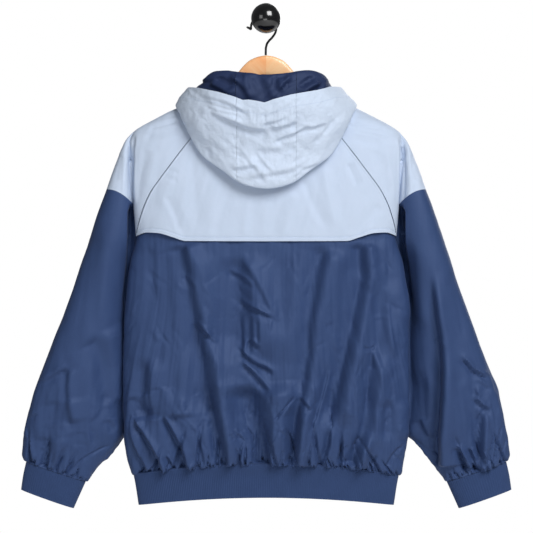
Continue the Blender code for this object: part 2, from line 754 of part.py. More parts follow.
def hood_drop(angle, ring):
    """Drop of a ring at angles from the centre back, through its five named places."""
    places = np.radians([-45.0, 0.0, 45.0, 90.0, 135.0, 180.0, 225.0])
    names = ("drop_back", "drop_back_side", "drop_side", "drop_front_side", "drop_front")
    values = [ring[name] for name in names]
    both_ways = np.array([values[1], *values, values[3]])
    return smooth(np.abs(angle), places, both_ways)


def neckline_points(angles):
    """The garment's neck edge at angles from the centre back, raised by the seam's gap."""
    x = SHOULDER_NECK_SIDE * np.abs(np.sin(angles))
    back_side, back_drop = SHOULDER["back_x"][0], SHOULDER["back_drop"][0]
    front_side, front_drop = SHOULDER["front_x"][0], SHOULDER["front_drop"][0]
    back_fall = (BACK_NECK_DROP - back_drop) * (1 - (x / back_side) ** 2)
    front_fall = (FRONT_NECK_DROP - front_drop) * front_neck_bow(np.minimum(x / front_side, 1))
    back = np.where(
        x < back_side,
        back_drop + back_fall,
        np.interp(x, (back_side, SHOULDER_NECK_SIDE), (back_drop, SHOULDER_NECK_DROP)),
    )
    front = np.where(
        x < front_side,
        front_drop + front_fall,
        np.interp(x, (front_side, SHOULDER_NECK_SIDE), (front_drop, SHOULDER_NECK_DROP)),
    )
    behind = np.abs(angles) < math.pi / 2
    signed_x = np.sign(angles) * x
    on_back = garment_points(signed_x, back, "back")
    on_front = garment_points(signed_x, front, "front")
    points = np.where(behind[..., None], on_back, on_front)
    return points + np.array([0, 0, HOOD_LIFT])


def hood_points(shares, angles):
    """Hood cloth at shares of the way from neck seam to face edge and angles round the
    neck. Each ring is half an ellipse behind the neck and half an ellipse before it."""
    knots = HOOD_RINGS["along"]
    count = len(knots)
    angles = np.broadcast_to(angles, (len(shares), angles.shape[-1]))
    ring_values = []
    for i in range(count):
        ring = {name: column[i] for name, column in HOOD_RINGS.items()}
        depth = np.where(np.abs(angles) < math.pi / 2, ring["back"], ring["front"])
        x = ring["half_width"] * np.sin(angles)
        y = HOOD_CENTRE_Y - depth * np.cos(angles)
        ring_values.append(np.stack([x, y, -hood_drop(angles, ring)], axis=-1))
    ring_values[0] = neckline_points(angles)
    stack = np.stack(ring_values)
    low = np.clip(np.searchsorted(knots, shares, side="right") - 1, 0, count - 2)
    t = ((shares - knots[low]) / (knots[low + 1] - knots[low]))[:, None, None]
    step = (knots[low + 1] - knots[low])[:, None, None]
    slopes = np.gradient(stack, knots, axis=0)
    row = np.arange(len(shares))
    first, second = stack[low, row], stack[low + 1, row]
    slope_1, slope_2 = slopes[low, row] * step, slopes[low + 1, row] * step
    return (
        first * (1 + 2 * t) * (1 - t) ** 2
        + slope_1 * t * (1 - t) ** 2
        + second * t * t * (3 - 2 * t)
        + slope_2 * t * t * (t - 1)
    )


def rest_on_jacket(points, gap):
    """Moves points that would lie in the jacket out to a gap from its surface."""
    x, drop = points[..., 0], -points[..., 2]
    on_body = (drop > SHOULDER_NECK_DROP) & (np.abs(x) < outline_at(drop))
    middle = body_at(drop, "middle")
    behind = middle - garment_depth(x, drop, "back") - gap
    before = middle + garment_depth(x, drop, "front") + gap
    y = points[..., 1]
    y = np.where(on_body & (y < middle) & (y > behind), behind, y)
    y = np.where(on_body & (y >= middle) & (y < before), before, y)
    return np.stack([x, y, -drop], axis=-1)


def make_hood(rows=13, strip_cells=4, side_cells=8):
    """The thrown-back hood: three shell panels, and the lining panels inside them."""
    shares = np.linspace(0, 1, rows + 1)
    half_width = np.interp(shares, HOOD_RINGS["along"], HOOD_RINGS["half_width"])
    strip = np.arcsin((HOOD_STRIP_HALF - HOOD_SEAM_GAP / 2) / half_width)[:, None]
    beside = np.arcsin((HOOD_STRIP_HALF + HOOD_SEAM_GAP / 2) / half_width)[:, None]
    centre_angles = strip * np.linspace(-1, 1, strip_cells + 1)[None, :]
    reach = np.linspace(0, 1, side_cells + 1)[None, :]
    side_angles = beside + (math.radians(HOOD_FRONT_ANGLE) - beside) * reach
    panels = {
        "centre": hood_points(shares, centre_angles),
        "right": hood_points(shares, side_angles),
    }
    panels["left"] = mirrored(panels["right"])
    for name, grid in panels.items():
        grid = rest_on_jacket(grid, HOOD_CLEARANCE)
        wall("hood_" + name, grid, SHELL_WALL, "light_blue_shell", calm=HOOD_CALM)
        start = SHELL_WALL + LINING_GAP
        wall("lining_" + name, grid, LINING_WALL, "navy_lining", start=start, calm=HOOD_CALM)


# ---------------------------------------------------------------- zip


def front_centre(drop, moved):
    """Points down the centre front, moved out from the cloth's outer face."""
    drop = np.asarray(drop, float)
    points = garment_points(np.zeros_like(drop), drop, "front", extra=moved)
    return points[:, 1]


def zip_strip(name, x_low, x_high, outer, thickness, top, bottom, material, cells=16):
    """A flat strip that follows the centre front, outer millimetres off the cloth."""
    drop = np.linspace(top, bottom, cells + 1)
    y_out = front_centre(drop, outer)
    y_in = y_out - thickness
    rings = [
        [(x_low, a, -d), (x_high, a, -d), (x_high, b, -d), (x_low, b, -d)]
        for a, b, d in zip(y_in, y_out, drop)
    ]
    return loft(name, rings, material)


def make_zip():
    """Closed front zip: tapes behind the fronts' edges, the joined chain and slider."""
    top = FRONT_NECK_DROP + ZIP_END_INSET
    bottom = BAND_BOTTOM_SIDE_DROP - BAND_BOTTOM_RISE["front"] - ZIP_END_INSET
    tape_out = -RIB_WALL - TAPE_BEHIND_BAND
    for side, sign in (("left", -1), ("right", 1)):
        x = sorted((sign * (CHAIN_HALF_WIDTH + CHAIN_GAP), sign * TAPE_OUTER))
        zip_strip("zip_tape_" + side, *x, tape_out, TAPE_WALL, top, bottom, "zip_tape")
    chain_top = SLIDER_DROP + SLIDER_SIZE[2] / 2 + CHAIN_GAP
    zip_strip("zip_chain", -CHAIN_HALF_WIDTH, CHAIN_HALF_WIDTH, -CHAIN_DEPTH, CHAIN_THICKNESS,
              chain_top, bottom, "zip_coil")


def slider_face():
    """Centre of the slider's outer face."""
    y = float(front_centre([SLIDER_DROP], SLIDER_RAISED)[0])
    return np.array([0.0, y + SLIDER_SIZE[1] / 2, -SLIDER_DROP])


def make_slider():
    """Slider body, with a bridge that runs along the zip over a tunnel for the tab."""
    face = slider_face()
    half_x, depth, half_z = SLIDER_SIZE[0] / 2, SLIDER_SIZE[1], SLIDER_SIZE[2] / 2
    low = face - (half_x, depth, half_z)
    high = face + (half_x, 0, half_z)
    slider = block("zip_slider", low, high, "zip_metal")
    half = BRIDGE_WIDTH / 2
    top = TUNNEL_HEIGHT + BRIDGE_WALL
    posts = [
        block("bridge_post", face + (-half, -JOIN_DEPTH, start), face + (half, top, end), "zip_metal")
        for start, end in ((-BRIDGE_HALF, -TUNNEL_HALF), (TUNNEL_HALF, BRIDGE_HALF))
    ]
    reach = (TUNNEL_HALF + BRIDGE_HALF) / 2
    inner = half - BRIDGE_SOFTENED
    bar = block("bridge_bar", face + (-inner, TUNNEL_HEIGHT, -reach),
                face + (inner, top - BRIDGE_SOFTENED, reach), "zip_metal")
    boolean(slider, "UNION", [*posts, bar])


def make_pull_tab():
    """Pull tab: a plate whose eye holds the bridge. Its top bar lies in the tunnel, and
    its origin is on that bar's axis, which it swings on."""
    axis = slider_face() + (0, TUNNEL_HEIGHT / 2, 0)
    half_x, half_y, half_bar = TAB_WIDTH / 2, TAB_WALL / 2, TAB_BAR / 2
    tab = block("zip_pull_tab", axis - (half_x, half_y, TAB_LENGTH),
                axis + (half_x, half_y, half_bar), "zip_metal", origin=tuple(axis))
    eye = block("tab_eye", axis - (TAB_EYE_HALF, TAB_WALL, TAB_EYE_LENGTH),
                axis + (TAB_EYE_HALF, TAB_WALL, -half_bar), "zip_metal")
    boolean(tab, "DIFFERENCE", [eye])


# ---------------------------------------------------------------- hanger and peg


def arm_section(corner, half_thick, half_height):
    """Outline of an arm's section: a rectangle with its corners cut off, as offsets
    across the arm and upwards."""
    cut = corner * half_thick
    flat_thick = half_thick - cut
    flat_height = half_height - cut
    return [
        (-half_thick, -flat_height), (-half_thick, flat_height),
        (-flat_thick, half_height), (flat_thick, half_height),
        (half_thick, flat_height), (half_thick, -flat_height),
        (flat_thick, -half_height), (-flat_thick, -half_height),
    ]


def make_hanger():
    """Wooden arms as lofts of sections with soft corners, mitred at the centre."""
    share = np.linspace(0, 1, ARM_SECTIONS)
    column = {name: along(share, values) for name, values in ARM.items()}
    column["x"][0] = ARM_GAP / 2
    rings = []
    for i in range(ARM_SECTIONS):
        section = {name: values[i] for name, values in column.items()}
        middle = (section["top"] + section["bottom"]) / 2
        half_height = (section["bottom"] - section["top"]) / 2
        outline = arm_section(ARM_CORNER, section["thickness"] / 2, half_height)
        rings.append([(section["x"], section["y"] + out, up - middle) for out, up in outline])
    rings = np.array(rings)
    loft("hanger_arm_right", rings, "hanger_wood")
    loft("hanger_arm_left", rings * (-1, 1, 1), "hanger_wood")


def hook_route():
    """The wire's centre line, as x and height: from its flicked tip round the loop and
    down the shank to the top of the wood."""
    x, z = LOOP_CENTRE
    angles = np.radians(np.linspace(LOOP_START, LOOP_END, LOOP_STEPS))
    loop = [(x + LOOP_RADIUS * math.cos(a), z + LOOP_RADIUS * math.sin(a)) for a in angles]
    shank_end = (SHANK_X, WIRE_GAP - HANGER_TOP_DROP)
    return [*HOOK_TIP, *loop, *HOOK_BEND, shank_end]


def make_hook():
    """Wire hook as a bevelled curve."""
    route = hook_route()
    curve = bpy.data.curves.new("hanger_hook", "CURVE")
    curve.dimensions = "3D"
    curve.bevel_depth = WIRE_RADIUS * MM
    curve.bevel_resolution = 2
    curve.use_fill_caps = True
    spline = curve.splines.new("POLY")
    spline.points.add(len(route) - 1)
    for point, (x, z) in zip(spline.points, route):
        point.co = (x * MM, HANGER_Y * MM, z * MM, 1)
    curve.materials.append(finish("black_wire"))
    hook = bpy.data.objects.new("hanger_hook", curve)
    bpy.context.scene.collection.objects.link(hook)
    return hook


def turned(name, profile, material, sides):
    """A solid turned about the peg's axis from rows of (distance from wall, radius)."""
    angle = np.linspace(0, 2 * math.pi, sides, endpoint=False)
    rings = [
        [(radius * math.cos(a), -out, radius * math.sin(a)) for a in angle]
        for out, radius in profile
    ]
    return loft(name, rings, material)


def make_peg():
    """Wall peg: flat plate, stem and ball."""
    rim = PLATE_DEPTH - PLATE_EDGE
    plate = [(0, PLATE_RADIUS), (rim, PLATE_RADIUS), (PLATE_DEPTH, PLATE_RADIUS - PLATE_EDGE)]
    turned("peg_plate", plate, "black_gloss", 32)
    centre = -BALL_CENTRE_Y
    ball_back = centre - math.sqrt(BALL_RADIUS**2 - STEM_RADIUS**2)
    stem = [(PLATE_DEPTH + PEG_GAP, STEM_RADIUS), (ball_back - PEG_GAP, STEM_RADIUS)]
    turned("peg_stem", stem, "black_gloss", 20)
    turns = np.linspace(math.asin(STEM_RADIUS / BALL_RADIUS), math.pi - BALL_POLE, 13)
    ball = [(centre - BALL_RADIUS * math.cos(t), BALL_RADIUS * math.sin(t)) for t in turns]
    turned("peg_ball", ball, "black_gloss", 28)


def main():
    """Clears the scene and makes every sub-part."""
    for old in list(bpy.data.objects):
        bpy.data.objects.remove(old)
    make_back_yoke()
    make_back_body()
    make_front_bodies()
    make_front_yokes()
    make_shoulders()
    make_sleeves()
    make_cuffs()
    make_hem_band()
    make_hood()
    make_zip()
    make_slider()
    make_pull_tab()
    make_hanger()
    make_hook()
    make_peg()


main()
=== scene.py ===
"""Hooded windbreaker jacket on a wooden hanger: fine cloth, trims and finishes.

The cloth pieces repeat the sections of the CAD solids on finer grids, raised and sunk
along their normals by creases. Tables are in millimetres: x is to the right of someone
who looks at the jacket's back, and a drop is a distance below the peg's axis.
"""

import math
from collections import namedtuple

import bpy
import numpy as np
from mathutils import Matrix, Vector


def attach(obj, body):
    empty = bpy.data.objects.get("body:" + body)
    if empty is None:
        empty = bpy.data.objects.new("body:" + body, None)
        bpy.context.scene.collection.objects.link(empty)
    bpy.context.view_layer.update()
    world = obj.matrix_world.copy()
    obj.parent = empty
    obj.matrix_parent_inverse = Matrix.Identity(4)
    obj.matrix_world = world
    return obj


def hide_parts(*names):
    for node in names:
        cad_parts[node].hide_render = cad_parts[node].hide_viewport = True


bl_info = {
    "name": "Windbreaker jacket",
    "version": (1, 0, 0),
    "blender": (4, 5, 0),
    "location": "3D View > Sidebar > Jacket",
    "description": "Builds the cloth, trims and finishes of a hooded jacket on its hanger",
    "category": "Object",
}

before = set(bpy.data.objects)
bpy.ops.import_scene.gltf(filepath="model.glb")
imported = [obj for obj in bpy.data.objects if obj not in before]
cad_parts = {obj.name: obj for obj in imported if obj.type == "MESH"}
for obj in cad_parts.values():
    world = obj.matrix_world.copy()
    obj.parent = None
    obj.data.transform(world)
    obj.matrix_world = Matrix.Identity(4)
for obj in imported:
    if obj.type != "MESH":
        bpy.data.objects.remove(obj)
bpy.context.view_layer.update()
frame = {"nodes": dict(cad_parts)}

MM = 0.001
JACKET = "jacket"

# Shape of the sections
SLEEVE_SQUARENESS = 2.3
FRONT_SLEEVE_SHARE = 0.85
TUCKED_POINT = 0.75
ARMPIT_DROP = 376.0
ARMPIT_SIDE = 225.6
FOLD_ANGLE = 0.12 * math.pi
SEAM_GAP = 0.3

# Yoke flap
FLAP_LIFT = 3.0
FLAP_LIFT_POWER = 5.0
TUCK_HEIGHT = 22.0
TUCK_SIDE = 212.0
TUCK_FADE = 14.0
TUCK_INSET = 1.8
TUCK_FADE_TOP = 374.0
TUCK_FADE_BOTTOM = 392.0

# Neckline
BACK_NECK_DROP = 150.0
SHOULDER_NECK_SIDE = 84.0
SHOULDER_NECK_DROP = 127.0
FRONT_NECK_DROP = 212.0
HOOD_LIFT = 1.8

# Hem band
BAND_TOP_SIDE_DROP = 790.0
BAND_BOTTOM_SIDE_DROP = 841.0
BAND_RISE = {"back": 19.0, "front": 20.0}
BAND_BOTTOM_RISE = {"back": 14.0, "front": 17.0}

# Zip; a coil's turn is a short rod that slants one way and the next one the other way
ZIP_EDGE = 6.0
ZIP_STITCH_INSET = 5.0
COIL_PITCH = 1.6
COIL_LENGTH = 4.6
COIL_RADIUS = 0.55
COIL_SLANT = 0.3
COIL_SUNK = 0.1

# Stitches and ribs
STITCH_LENGTH = 2.6
FLAP_STITCH_INSET = 7.0
RIB_CELLS = 4
CUFF_ROUND = 230.0
BAND_ROUND = 960.0

# Normals are evened out this many times before cloth is raised, and before it gets a wall
RELIEF_CALM = 3
WALL_CALM = 2

# Hanger and peg
HANGER_Y = -44.0
HANGER_TOP_DROP = 61.5
LOOP_CENTRE = (-4.5, -13.9)
LOOP_RADIUS = 22.0
WIRE_RADIUS = 2.0
BALL_CENTRE_Y = -76.0
BALL_RADIUS = 26.0
PLATE_RADIUS = 20.0
PLATE_DEPTH = 6.0
STEM_RADIUS = 5.0
TURNED_SIDES = 72

# Stage, in metres, and its lights: place, size and watts
CAMERA_DISTANCE = 5.0
CAMERA_PLACE = (0.0005, -0.428)
SEEN_WIDTH = 0.924
SENSOR_WIDTH = 36.0
NEAREST_CLOTH = 0.048
LIGHT_TARGET = (0.0, -0.06, -0.42)
LIGHTS = (
    ("key", (2.3, -4.4, 3.2), 3.2, 330),
    ("fill", (-3.4, -4.0, 0.6), 2.2, 30),
    ("low", (-0.6, -4.6, -1.9), 2.4, 40),
    ("front", (1.4, 2.8, 0.8), 2.2, 40),
)
SKY_STRENGTH = 0.11
FLOOR_RADIUS = 3800.0
FLOOR_DROP = 1300.0
FLOOR_SIDES = 96


def table(columns, *rows):
    """The rows of a table as one array for each named column."""
    names = columns.split()
    return {name: np.array([row[i] for row in rows], float) for i, name in enumerate(names)}


BODY = table(
    "drop half_width back front middle squareness",
    (127, 83, 17, 13, -44, 2.0),
    (145, 132, 24, 17, -44, 2.1),
    (167, 181, 31, 22, -44, 2.2),
    (195, 229, 37, 26, -45, 2.4),
    (214, 236.5, 40, 28, -45, 2.5),
    (250, 234, 44, 31, -47, 2.6),
    (290, 231.5, 47, 34, -49, 2.8),
    (320, 229.5, 49, 35, -50, 2.9),
    (350, 227.5, 50, 37, -51, 3.0),
    (376, 225.6, 51, 38, -51, 3.0),
    (389, 227.4, 51, 38, -51, 3.0),
    (417, 235, 52, 39, -51, 3.0),
    (467, 241.5, 52, 40, -52, 3.0),
    (531, 246.5, 52, 40, -52, 3.0),
    (608, 247, 51, 40, -52, 3.0),
    (680, 246, 49, 39, -52, 3.0),
    (715, 245.5, 47, 38, -52, 3.0),
    (744, 242.6, 43, 35, -51, 3.0),
    (768, 237, 35, 28, -50, 2.9),
    (790, 229.5, 29, 23, -49, 2.8),
    (841, 221, 26, 21, -47, 2.6),
)

OUTLINE = table(
    "drop half_width",
    (127, 84), (135, 110), (145, 134), (155, 158), (167.2, 183), (181, 209),
    (195, 230.5), (208.8, 242.6), (222.7, 249.8), (250.4, 261), (278, 271),
    (295, 276.8), (333.6, 291), (376, 305),
)

GROOVE = table(
    "drop floor hump",
    (127, 0.5, 0.6), (195, 1.5, 2), (208, 6, 6), (222, 10, 14), (236, 10, 19),
    (264, 9, 24), (295, 8, 28), (333, 5, 33), (376, 1.8, 37), (380, 0.3, 37),
)

SHOULDER = table(
    "back_x back_drop front_x front_drop fold_x fold_drop edge_drop",
    (78, 143, 74, 160, 82, 134, 127),
    (103, 172.5, 100, 184, 118, 156, 143),
    (128.4, 203.6, 127, 210, 153, 178, 160),
    (149, 230, 149, 233, 185, 196, 176),
    (167.4, 254.8, 167.4, 256, 212, 209, 192),
    (184, 277, 184, 277, 234, 223, 208.8),
    (199, 298.4, 199, 298.4, 234.4, 243, 230),
    (213.5, 330, 213.5, 330, 232.9, 268, 252),
    (223, 362, 223, 362, 231.2, 295, 276),
    (225.2, 375.4, 225.2, 375.4, 229.5, 320.4, 294.8),
)

SLEEVE = table(
    "outer_x outer_drop inner_x inner_drop half_depth middle bow tuck",
    (276.7, 294.8, 229.5, 320.4, 29, -49, 7, 0),
    (291, 333.6, 228.4, 350, 34, -50, 4, 0),
    (305, 376, 226.2, 378.5, 37, -51, 1, 5),
    (318.8, 416.8, 233, 424, 39, -51, 0, 21),
    (333.2, 462, 237, 474, 40.5, -51, 0, 26),
    (346.6, 500, 239.5, 520, 41, -51, 0, 26),
    (367, 555.4, 240.5, 580, 40.5, -51, 0, 26),
    (388, 610.9, 240.5, 642, 39, -50, 0, 25),
    (403.8, 652.5, 240, 688, 37, -49, 0, 22),
    (414, 694, 241, 713, 35, -48, 0, 17),
    (420.5, 730, 262, 738, 32, -47, 0, 8),
    (421.5, 752, 285, 768, 27, -46, 0, 2),
    (416.2, 766.5, 313.3, 800.8, 21, -45, 0, 0),
)

CUFF = table(
    "outer_x outer_drop inner_x inner_drop half_depth middle",
    (416.3, 767.0, 313.4, 801.3, 20.8, -45),
    (421.6, 791, 324, 824.6, 19.5, -44.5),
    (425.1, 814.8, 334.1, 847.1, 18, -44),
)

FLAP = table(
    "x drop",
    (0, 385), (138, 384.4), (162, 377.5), (187, 370.7), (206, 369.7), (225.6, 375.6),
)

HOOD_CENTRE_Y = -46.0
HOOD_RINGS = table(
    "along half_width back front drop_back drop_back_side drop_side drop_front_side drop_front",
    (0.00, 84, 24, 27, 148.5, 146, 125.7, 180, 210),
    (0.09, 97, 35, 28, 112, 104, 112, 160, 203),
    (0.14, 102, 41, 29, 102.5, 93.5, 108, 148, 199),
    (0.20, 106, 47, 30, 112, 104, 111, 145, 196),
    (0.42, 122, 62, 34, 215, 185, 128, 149, 190),
    (0.56, 134, 78, 38, 282, 243, 140, 156, 186),
    (0.62, 146, 96, 40, 288, 244, 145.5, 158, 184),
    (0.75, 158, 116, 42, 243, 204, 149, 154, 181),
    (0.90, 152, 115, 41, 185, 161, 134, 144, 177),
    (1.00, 140, 106, 38, 150, 129, 119, 134, 172),
)
FACE_EDGE = table(
    "x drop",
    (-140, 118), (-118, 121.8), (-82, 130.3), (-53, 139.5), (-40, 145), (-30, 144.4),
    (-14, 147), (-3, 149.5), (3, 147.5), (12, 144), (43, 135.5), (86, 127.2), (115, 119.7), (140, 118),
)
HOOD_STRIP_HALF = 51.0
HOOD_FRONT_ANGLE = 174.0
HOOD_CLEARANCE = 4.5
HOOD_SEAM_GAP = 0.3
HOOD_SAG = 7.0
HOOD_CORNER_IN = {"right": 9, "left": 4}
CASING_WIDTH = 22.0
HOOD_PRESSED = 0.5
HOOD_CREASE_SHARE = 0.5
LINING_BEHIND = 1.4

BACK_FOLDS = table(
    "top_x top_drop low_x low_drop half_width height",
    (-145, 400, -72, 760, 17, 5),
    (-72, 420, 6, 735, 15, 4),
    (172, 400, 112, 750, 17, 5),
    (98, 430, 56, 740, 14, 3.5),
    (190, 570, 142, 775, 14, 4),
    (-231, 700, -178, 785, 12, 4),
)

ARM = table(
    "x top bottom thickness y",
    (0.0, HANGER_TOP_DROP, 97, 14, HANGER_Y),
    (13, 63.8, 101, 14, -44),
    (28, 70, 109, 14, -44),
    (40, 80.5, 118, 14, -43.8),
    (52, 96, 130, 14, -43.6),
    (68, 121, 147, 13, -43.6),
    (90, 140, 163, 12, -43.8),
    (130, 155, 177, 11, -44),
    (175, 174.5, 194, 10.5, -44),
    (208, 194, 211, 10, -44.3),
    (222, 206, 216, 8, -44.5),
)

# A crease: the line that it follows, as (x, drop) places; its half width at the start and
# the end; its height, below 0 for a trough, or the steepness of a step; its lean, above 0
# where the flank on the right of a falling line is the wider one; its crispness, 2 for a
# round bottom, below CRISP for flat flanks and STEP for a slope that rises to the right of
# a falling line; and the shares of its length over which its two ends fade.
CRISP = 1.55
STEP = 0
STEP_REACH = 2.6
STEP_STEEPNESS = 2.9
BROAD_STEP = 5
BROAD_SPREAD = 1.5
FINE_SPREAD = 1.1
NICK_CRISP = 1.4
ROUTE_SPACING = 14
FLANK_REACH = 1.7
RIM_HEIGHT, RIM_AT, RIM_WIDTH = 0.22, 2.1, 0.7
LATE, BOTH = (0.4, 0.02), (0.25, 0.25)
Crease = namedtuple("Crease", "route widths height lean crisp ends", defaults=(0.0, 1.7, (0.15, 0.2)))


def pair(widths):
    """Half widths at the start and the end, where one number stands for both."""
    return widths if isinstance(widths, tuple) else (widths, widths)


def steps_of(*rows):
    """Steps from rows of route, half widths and steepness, and where both ends don't fade
    alike, the shares over which they do. A broad step spreads wider than a fine one."""
    made = []
    for route, widths, steep, *ends in rows:
        spread = [w * (BROAD_SPREAD if w >= BROAD_STEP else FINE_SPREAD) for w in pair(widths)]
        made.append(Crease(route, spread, STEP_STEEPNESS * steep, 0.0, STEP, ends[0] if ends else BOTH))
    return tuple(made)


def nicks(height, *rows):
    """Short crisp creases of one height from rows of route and half widths."""
    return tuple(Crease(route, pair(widths), height, 0.0, NICK_CRISP, (0.25, 0.2)) for route, widths in rows)


def placed(*rows):
    """Creases from rows of route, half widths, height and, where they aren't the usual
    ones, lean, crispness and the shares over which the ends fade."""
    return tuple(Crease(route, pair(widths), *others) for route, widths, *others in rows)


def both_sides(*rows):
    """Each crease of these rows, and after it its mirror image on the other side."""
    made = ()
    for crease in placed(*rows):
        route = tuple((-x, drop) for x, drop in crease.route)
        made += (crease, crease._replace(route=route, lean=-crease.lean))
    return made


BACK_CREASES = steps_of(
    # the long fold from under the left end of the flap
    (((-141, 388), (-135, 420), (-131, 440), (-124, 480), (-115, 520), (-107, 560), (-98, 600),
      (-93, 640), (-84, 690)), (5.5, 8), 0.55, (0.04, 0.2)),
    (((-96, 620), (-85, 680), (-76, 720), (-68, 770)), (8, 4.5), 0.8, (0.35, 0.02)),
    (((-128, 400), (-110, 460), (-90, 522)), 6, 0.2),
    (((-155, 388), (-148, 475), (-138, 560)), (9, 10), 0.14, (0.1, 0.6)),
    (((-141, 441), (-123, 465)), 2.4, 0.4),
    (((-128, 522), (-94, 552)), 2.4, 0.8),
    (((-121, 520), (-104, 540)), 1.8, 0.5),
    (((-107, 540), (-84, 562)), 1.8, 0.5),
    # the broad fold left of the centre
    (((-45, 405), (-36, 460), (-27, 520), (-26, 600)), (8, 20), 0.34, (0.15, 0.3)),
    (((-50, 407), (-10, 468), (10, 508), (24, 531)), 4, 0.3),
    (((-40, 500), (-40, 590)), 3, 0.3),
    (((-25, 510), (-25, 585)), 3, 0.35),
    (((-13, 512), (-12, 580)), 3, 0.3),
    (((-69, 433), (-43, 446), (-20, 466)), 2.6, 0.45),
    (((-45, 480), (-37, 492), (-11, 505), (17, 519)), 2.4, 0.85),
    (((-30, 552), (-13, 568)), 2.4, 0.8),
    (((-52, 563), (-33, 583), (-20, 593), (7, 606), (14, 619)), 2.6, 0.85),
    (((-47, 591), (-37, 597), (-10, 624), (7, 644)), 2.8, 0.85),
    (((-10, 625), (-7, 660), (-3, 690), (2, 720), (4, 740), (5, 772)), (17, 6), 0.5, (0.2, 0.02)),
    (((0, 695), (3, 730), (6, 772)), (5, 4), 0.6, LATE),
    (((-62, 712), (-52, 723)), 1.8, 0.6),
    (((-56, 706), (-42, 726)), 2, 0.6),
    (((-46, 712), (-37, 730)), 1.8, 0.6),
    (((56, 651), (68, 663), (76, 677)), 1.9, 0.7),
    (((24, 706), (34, 717)), 1.8, 0.5),
    (((32, 703), (41, 718)), 1.8, 0.5),
    # right of the centre
    (((109, 392), (93, 441), (87, 485), (79, 530), (77.5, 580), (73, 600), (67, 640), (61, 664),
      (58, 680), (55, 710), (52.5, 740), (50, 770)), (7, 5), 0.4, (0.06, 0.02)),
    (((66, 645), (58, 685), (54, 720), (52, 745), (50, 771)), (5, 4), 0.7, LATE),
    (((110, 590), (105, 620), (95, 658), (80, 702), (71, 725)), 2.2, 0.6),
    # the long fold from under the right end of the flap
    (((166, 386), (168, 420), (171.5, 440), (170, 460), (165.5, 480), (158, 520), (148, 560),
      (139, 600), (130, 640), (121, 680), (118, 708)), (5, 8), 0.6, (0.04, 0.12)),
    (((112, 700), (107, 739), (100, 759), (98, 774)), 3, 0.9, (0.3, 0.02)),
    (((187, 575), (184, 640), (180, 680), (178, 705), (171, 722), (162, 742), (153, 772)), (7, 5),
     0.55, (0.2, 0.02)),
    (((172, 715), (162, 742), (154, 772)), 4.5, 0.6, LATE),
    (((181, 573), (186, 606)), 3, 0.5),
    (((204, 445), (205, 590)), 8, 0.28),
    (((211, 475), (213, 525), (220, 562), (233, 590)), 3.4, -0.3),
    (((222, 655), (221, 730)), (8, 7), 0.26),
    # left corner
    (((-229, 689), (-209, 722), (-189, 756), (-179, 783)), (2.2, 4.4), 1.0, (0.1, 0.02)),
    (((-178, 683), (-165, 705), (-151, 732), (-141, 759), (-135, 783)), (2.2, 4.2), 1.0, (0.1, 0.02)),
    (((-237, 705), (-226, 742), (-205, 783)), (2.5, 3.6), 0.65, (0.2, 0.02)),
    (((-173, 750), (-162, 769), (-155, 783)), (1.8, 2), 0.8, (0.2, 0.02)),
    (((-180, 634), (-176, 692)), (4, 13), 0.32, (0.1, 0.2)),
    (((-203, 580), (-203, 705)), 6.5, 0.42),
    (((-222, 648), (-212, 680)), (6, 5), 0.3),
    (((-195, 387), (-184, 485), (-172, 580)), (6, 8), 0.13, (0.1, 0.6)),
    (((-172, 395), (-162, 485), (-150, 590)), (6, 8), 0.15, (0.1, 0.6)),
    (((-199, 536), (-185, 562)), 4, 0.12),
    (((-151, 515), (-172, 552), (-178, 603)), 4, 0.1),
    # faint long folds of the flat upper part
    (((40, 392), (34, 480), (38, 560)), (8, 10), 0.14),
    (((140, 392), (122, 480), (112, 560)), (8, 9), -0.14),
    (((214, 392), (224, 460), (228, 540)), (6, 8), 0.16),
) + nicks(
    -4.2,
    (((-96, 710), (-91, 742), (-88, 764)), (1.8, 3.2)),
    (((-40, 698), (-23, 725), (-19, 755)), (1.8, 2.8)),
    (((12, 694), (31, 671), (50, 650)), (1.8, 2.2)),
    (((110, 678), (113, 707)), (1.6, 1.8)),
    (((159, 723), (151, 741)), (1.6, 1.8)),
    (((163, 564), (178, 571), (189, 562)), 2),
    (((239, 735), (220, 752), (205, 776)), (2.4, 3.6)),
    (((190, 750), (178, 778)), (1.8, 3)),
    (((-24, 742), (-20, 772)), (1.6, 3)),
    (((28, 738), (25, 772)), (1.6, 3)),
    (((78, 728), (70, 772)), (1.6, 3.2)),
    (((132, 722), (122, 774)), (1.6, 3.4)),
    (((-118, 716), (-108, 772)), (1.6, 3.2)),
    (((-52, 736), (-44, 772)), (1.4, 2.6)),
) + placed(
    (((180, 392), (181, 432)), 6, 1.6),
    (((-76, 560), (-66, 660), (-52, 772)), (12, 13), 2.8, 0.0, 2, LATE),
    (((-150, 560), (-146, 660), (-122, 772)), 13, 2.2, 0.0, 2, LATE),
    (((26, 560), (30, 660), (26, 772)), 12, 2.4, 0.0, 2, LATE),
    (((96, 560), (84, 660), (76, 772)), (10, 12), 2.4, 0.0, 2, LATE),
    (((158, 560), (152, 660), (130, 772)), 12, 2.6, 0.0, 2, LATE),
)

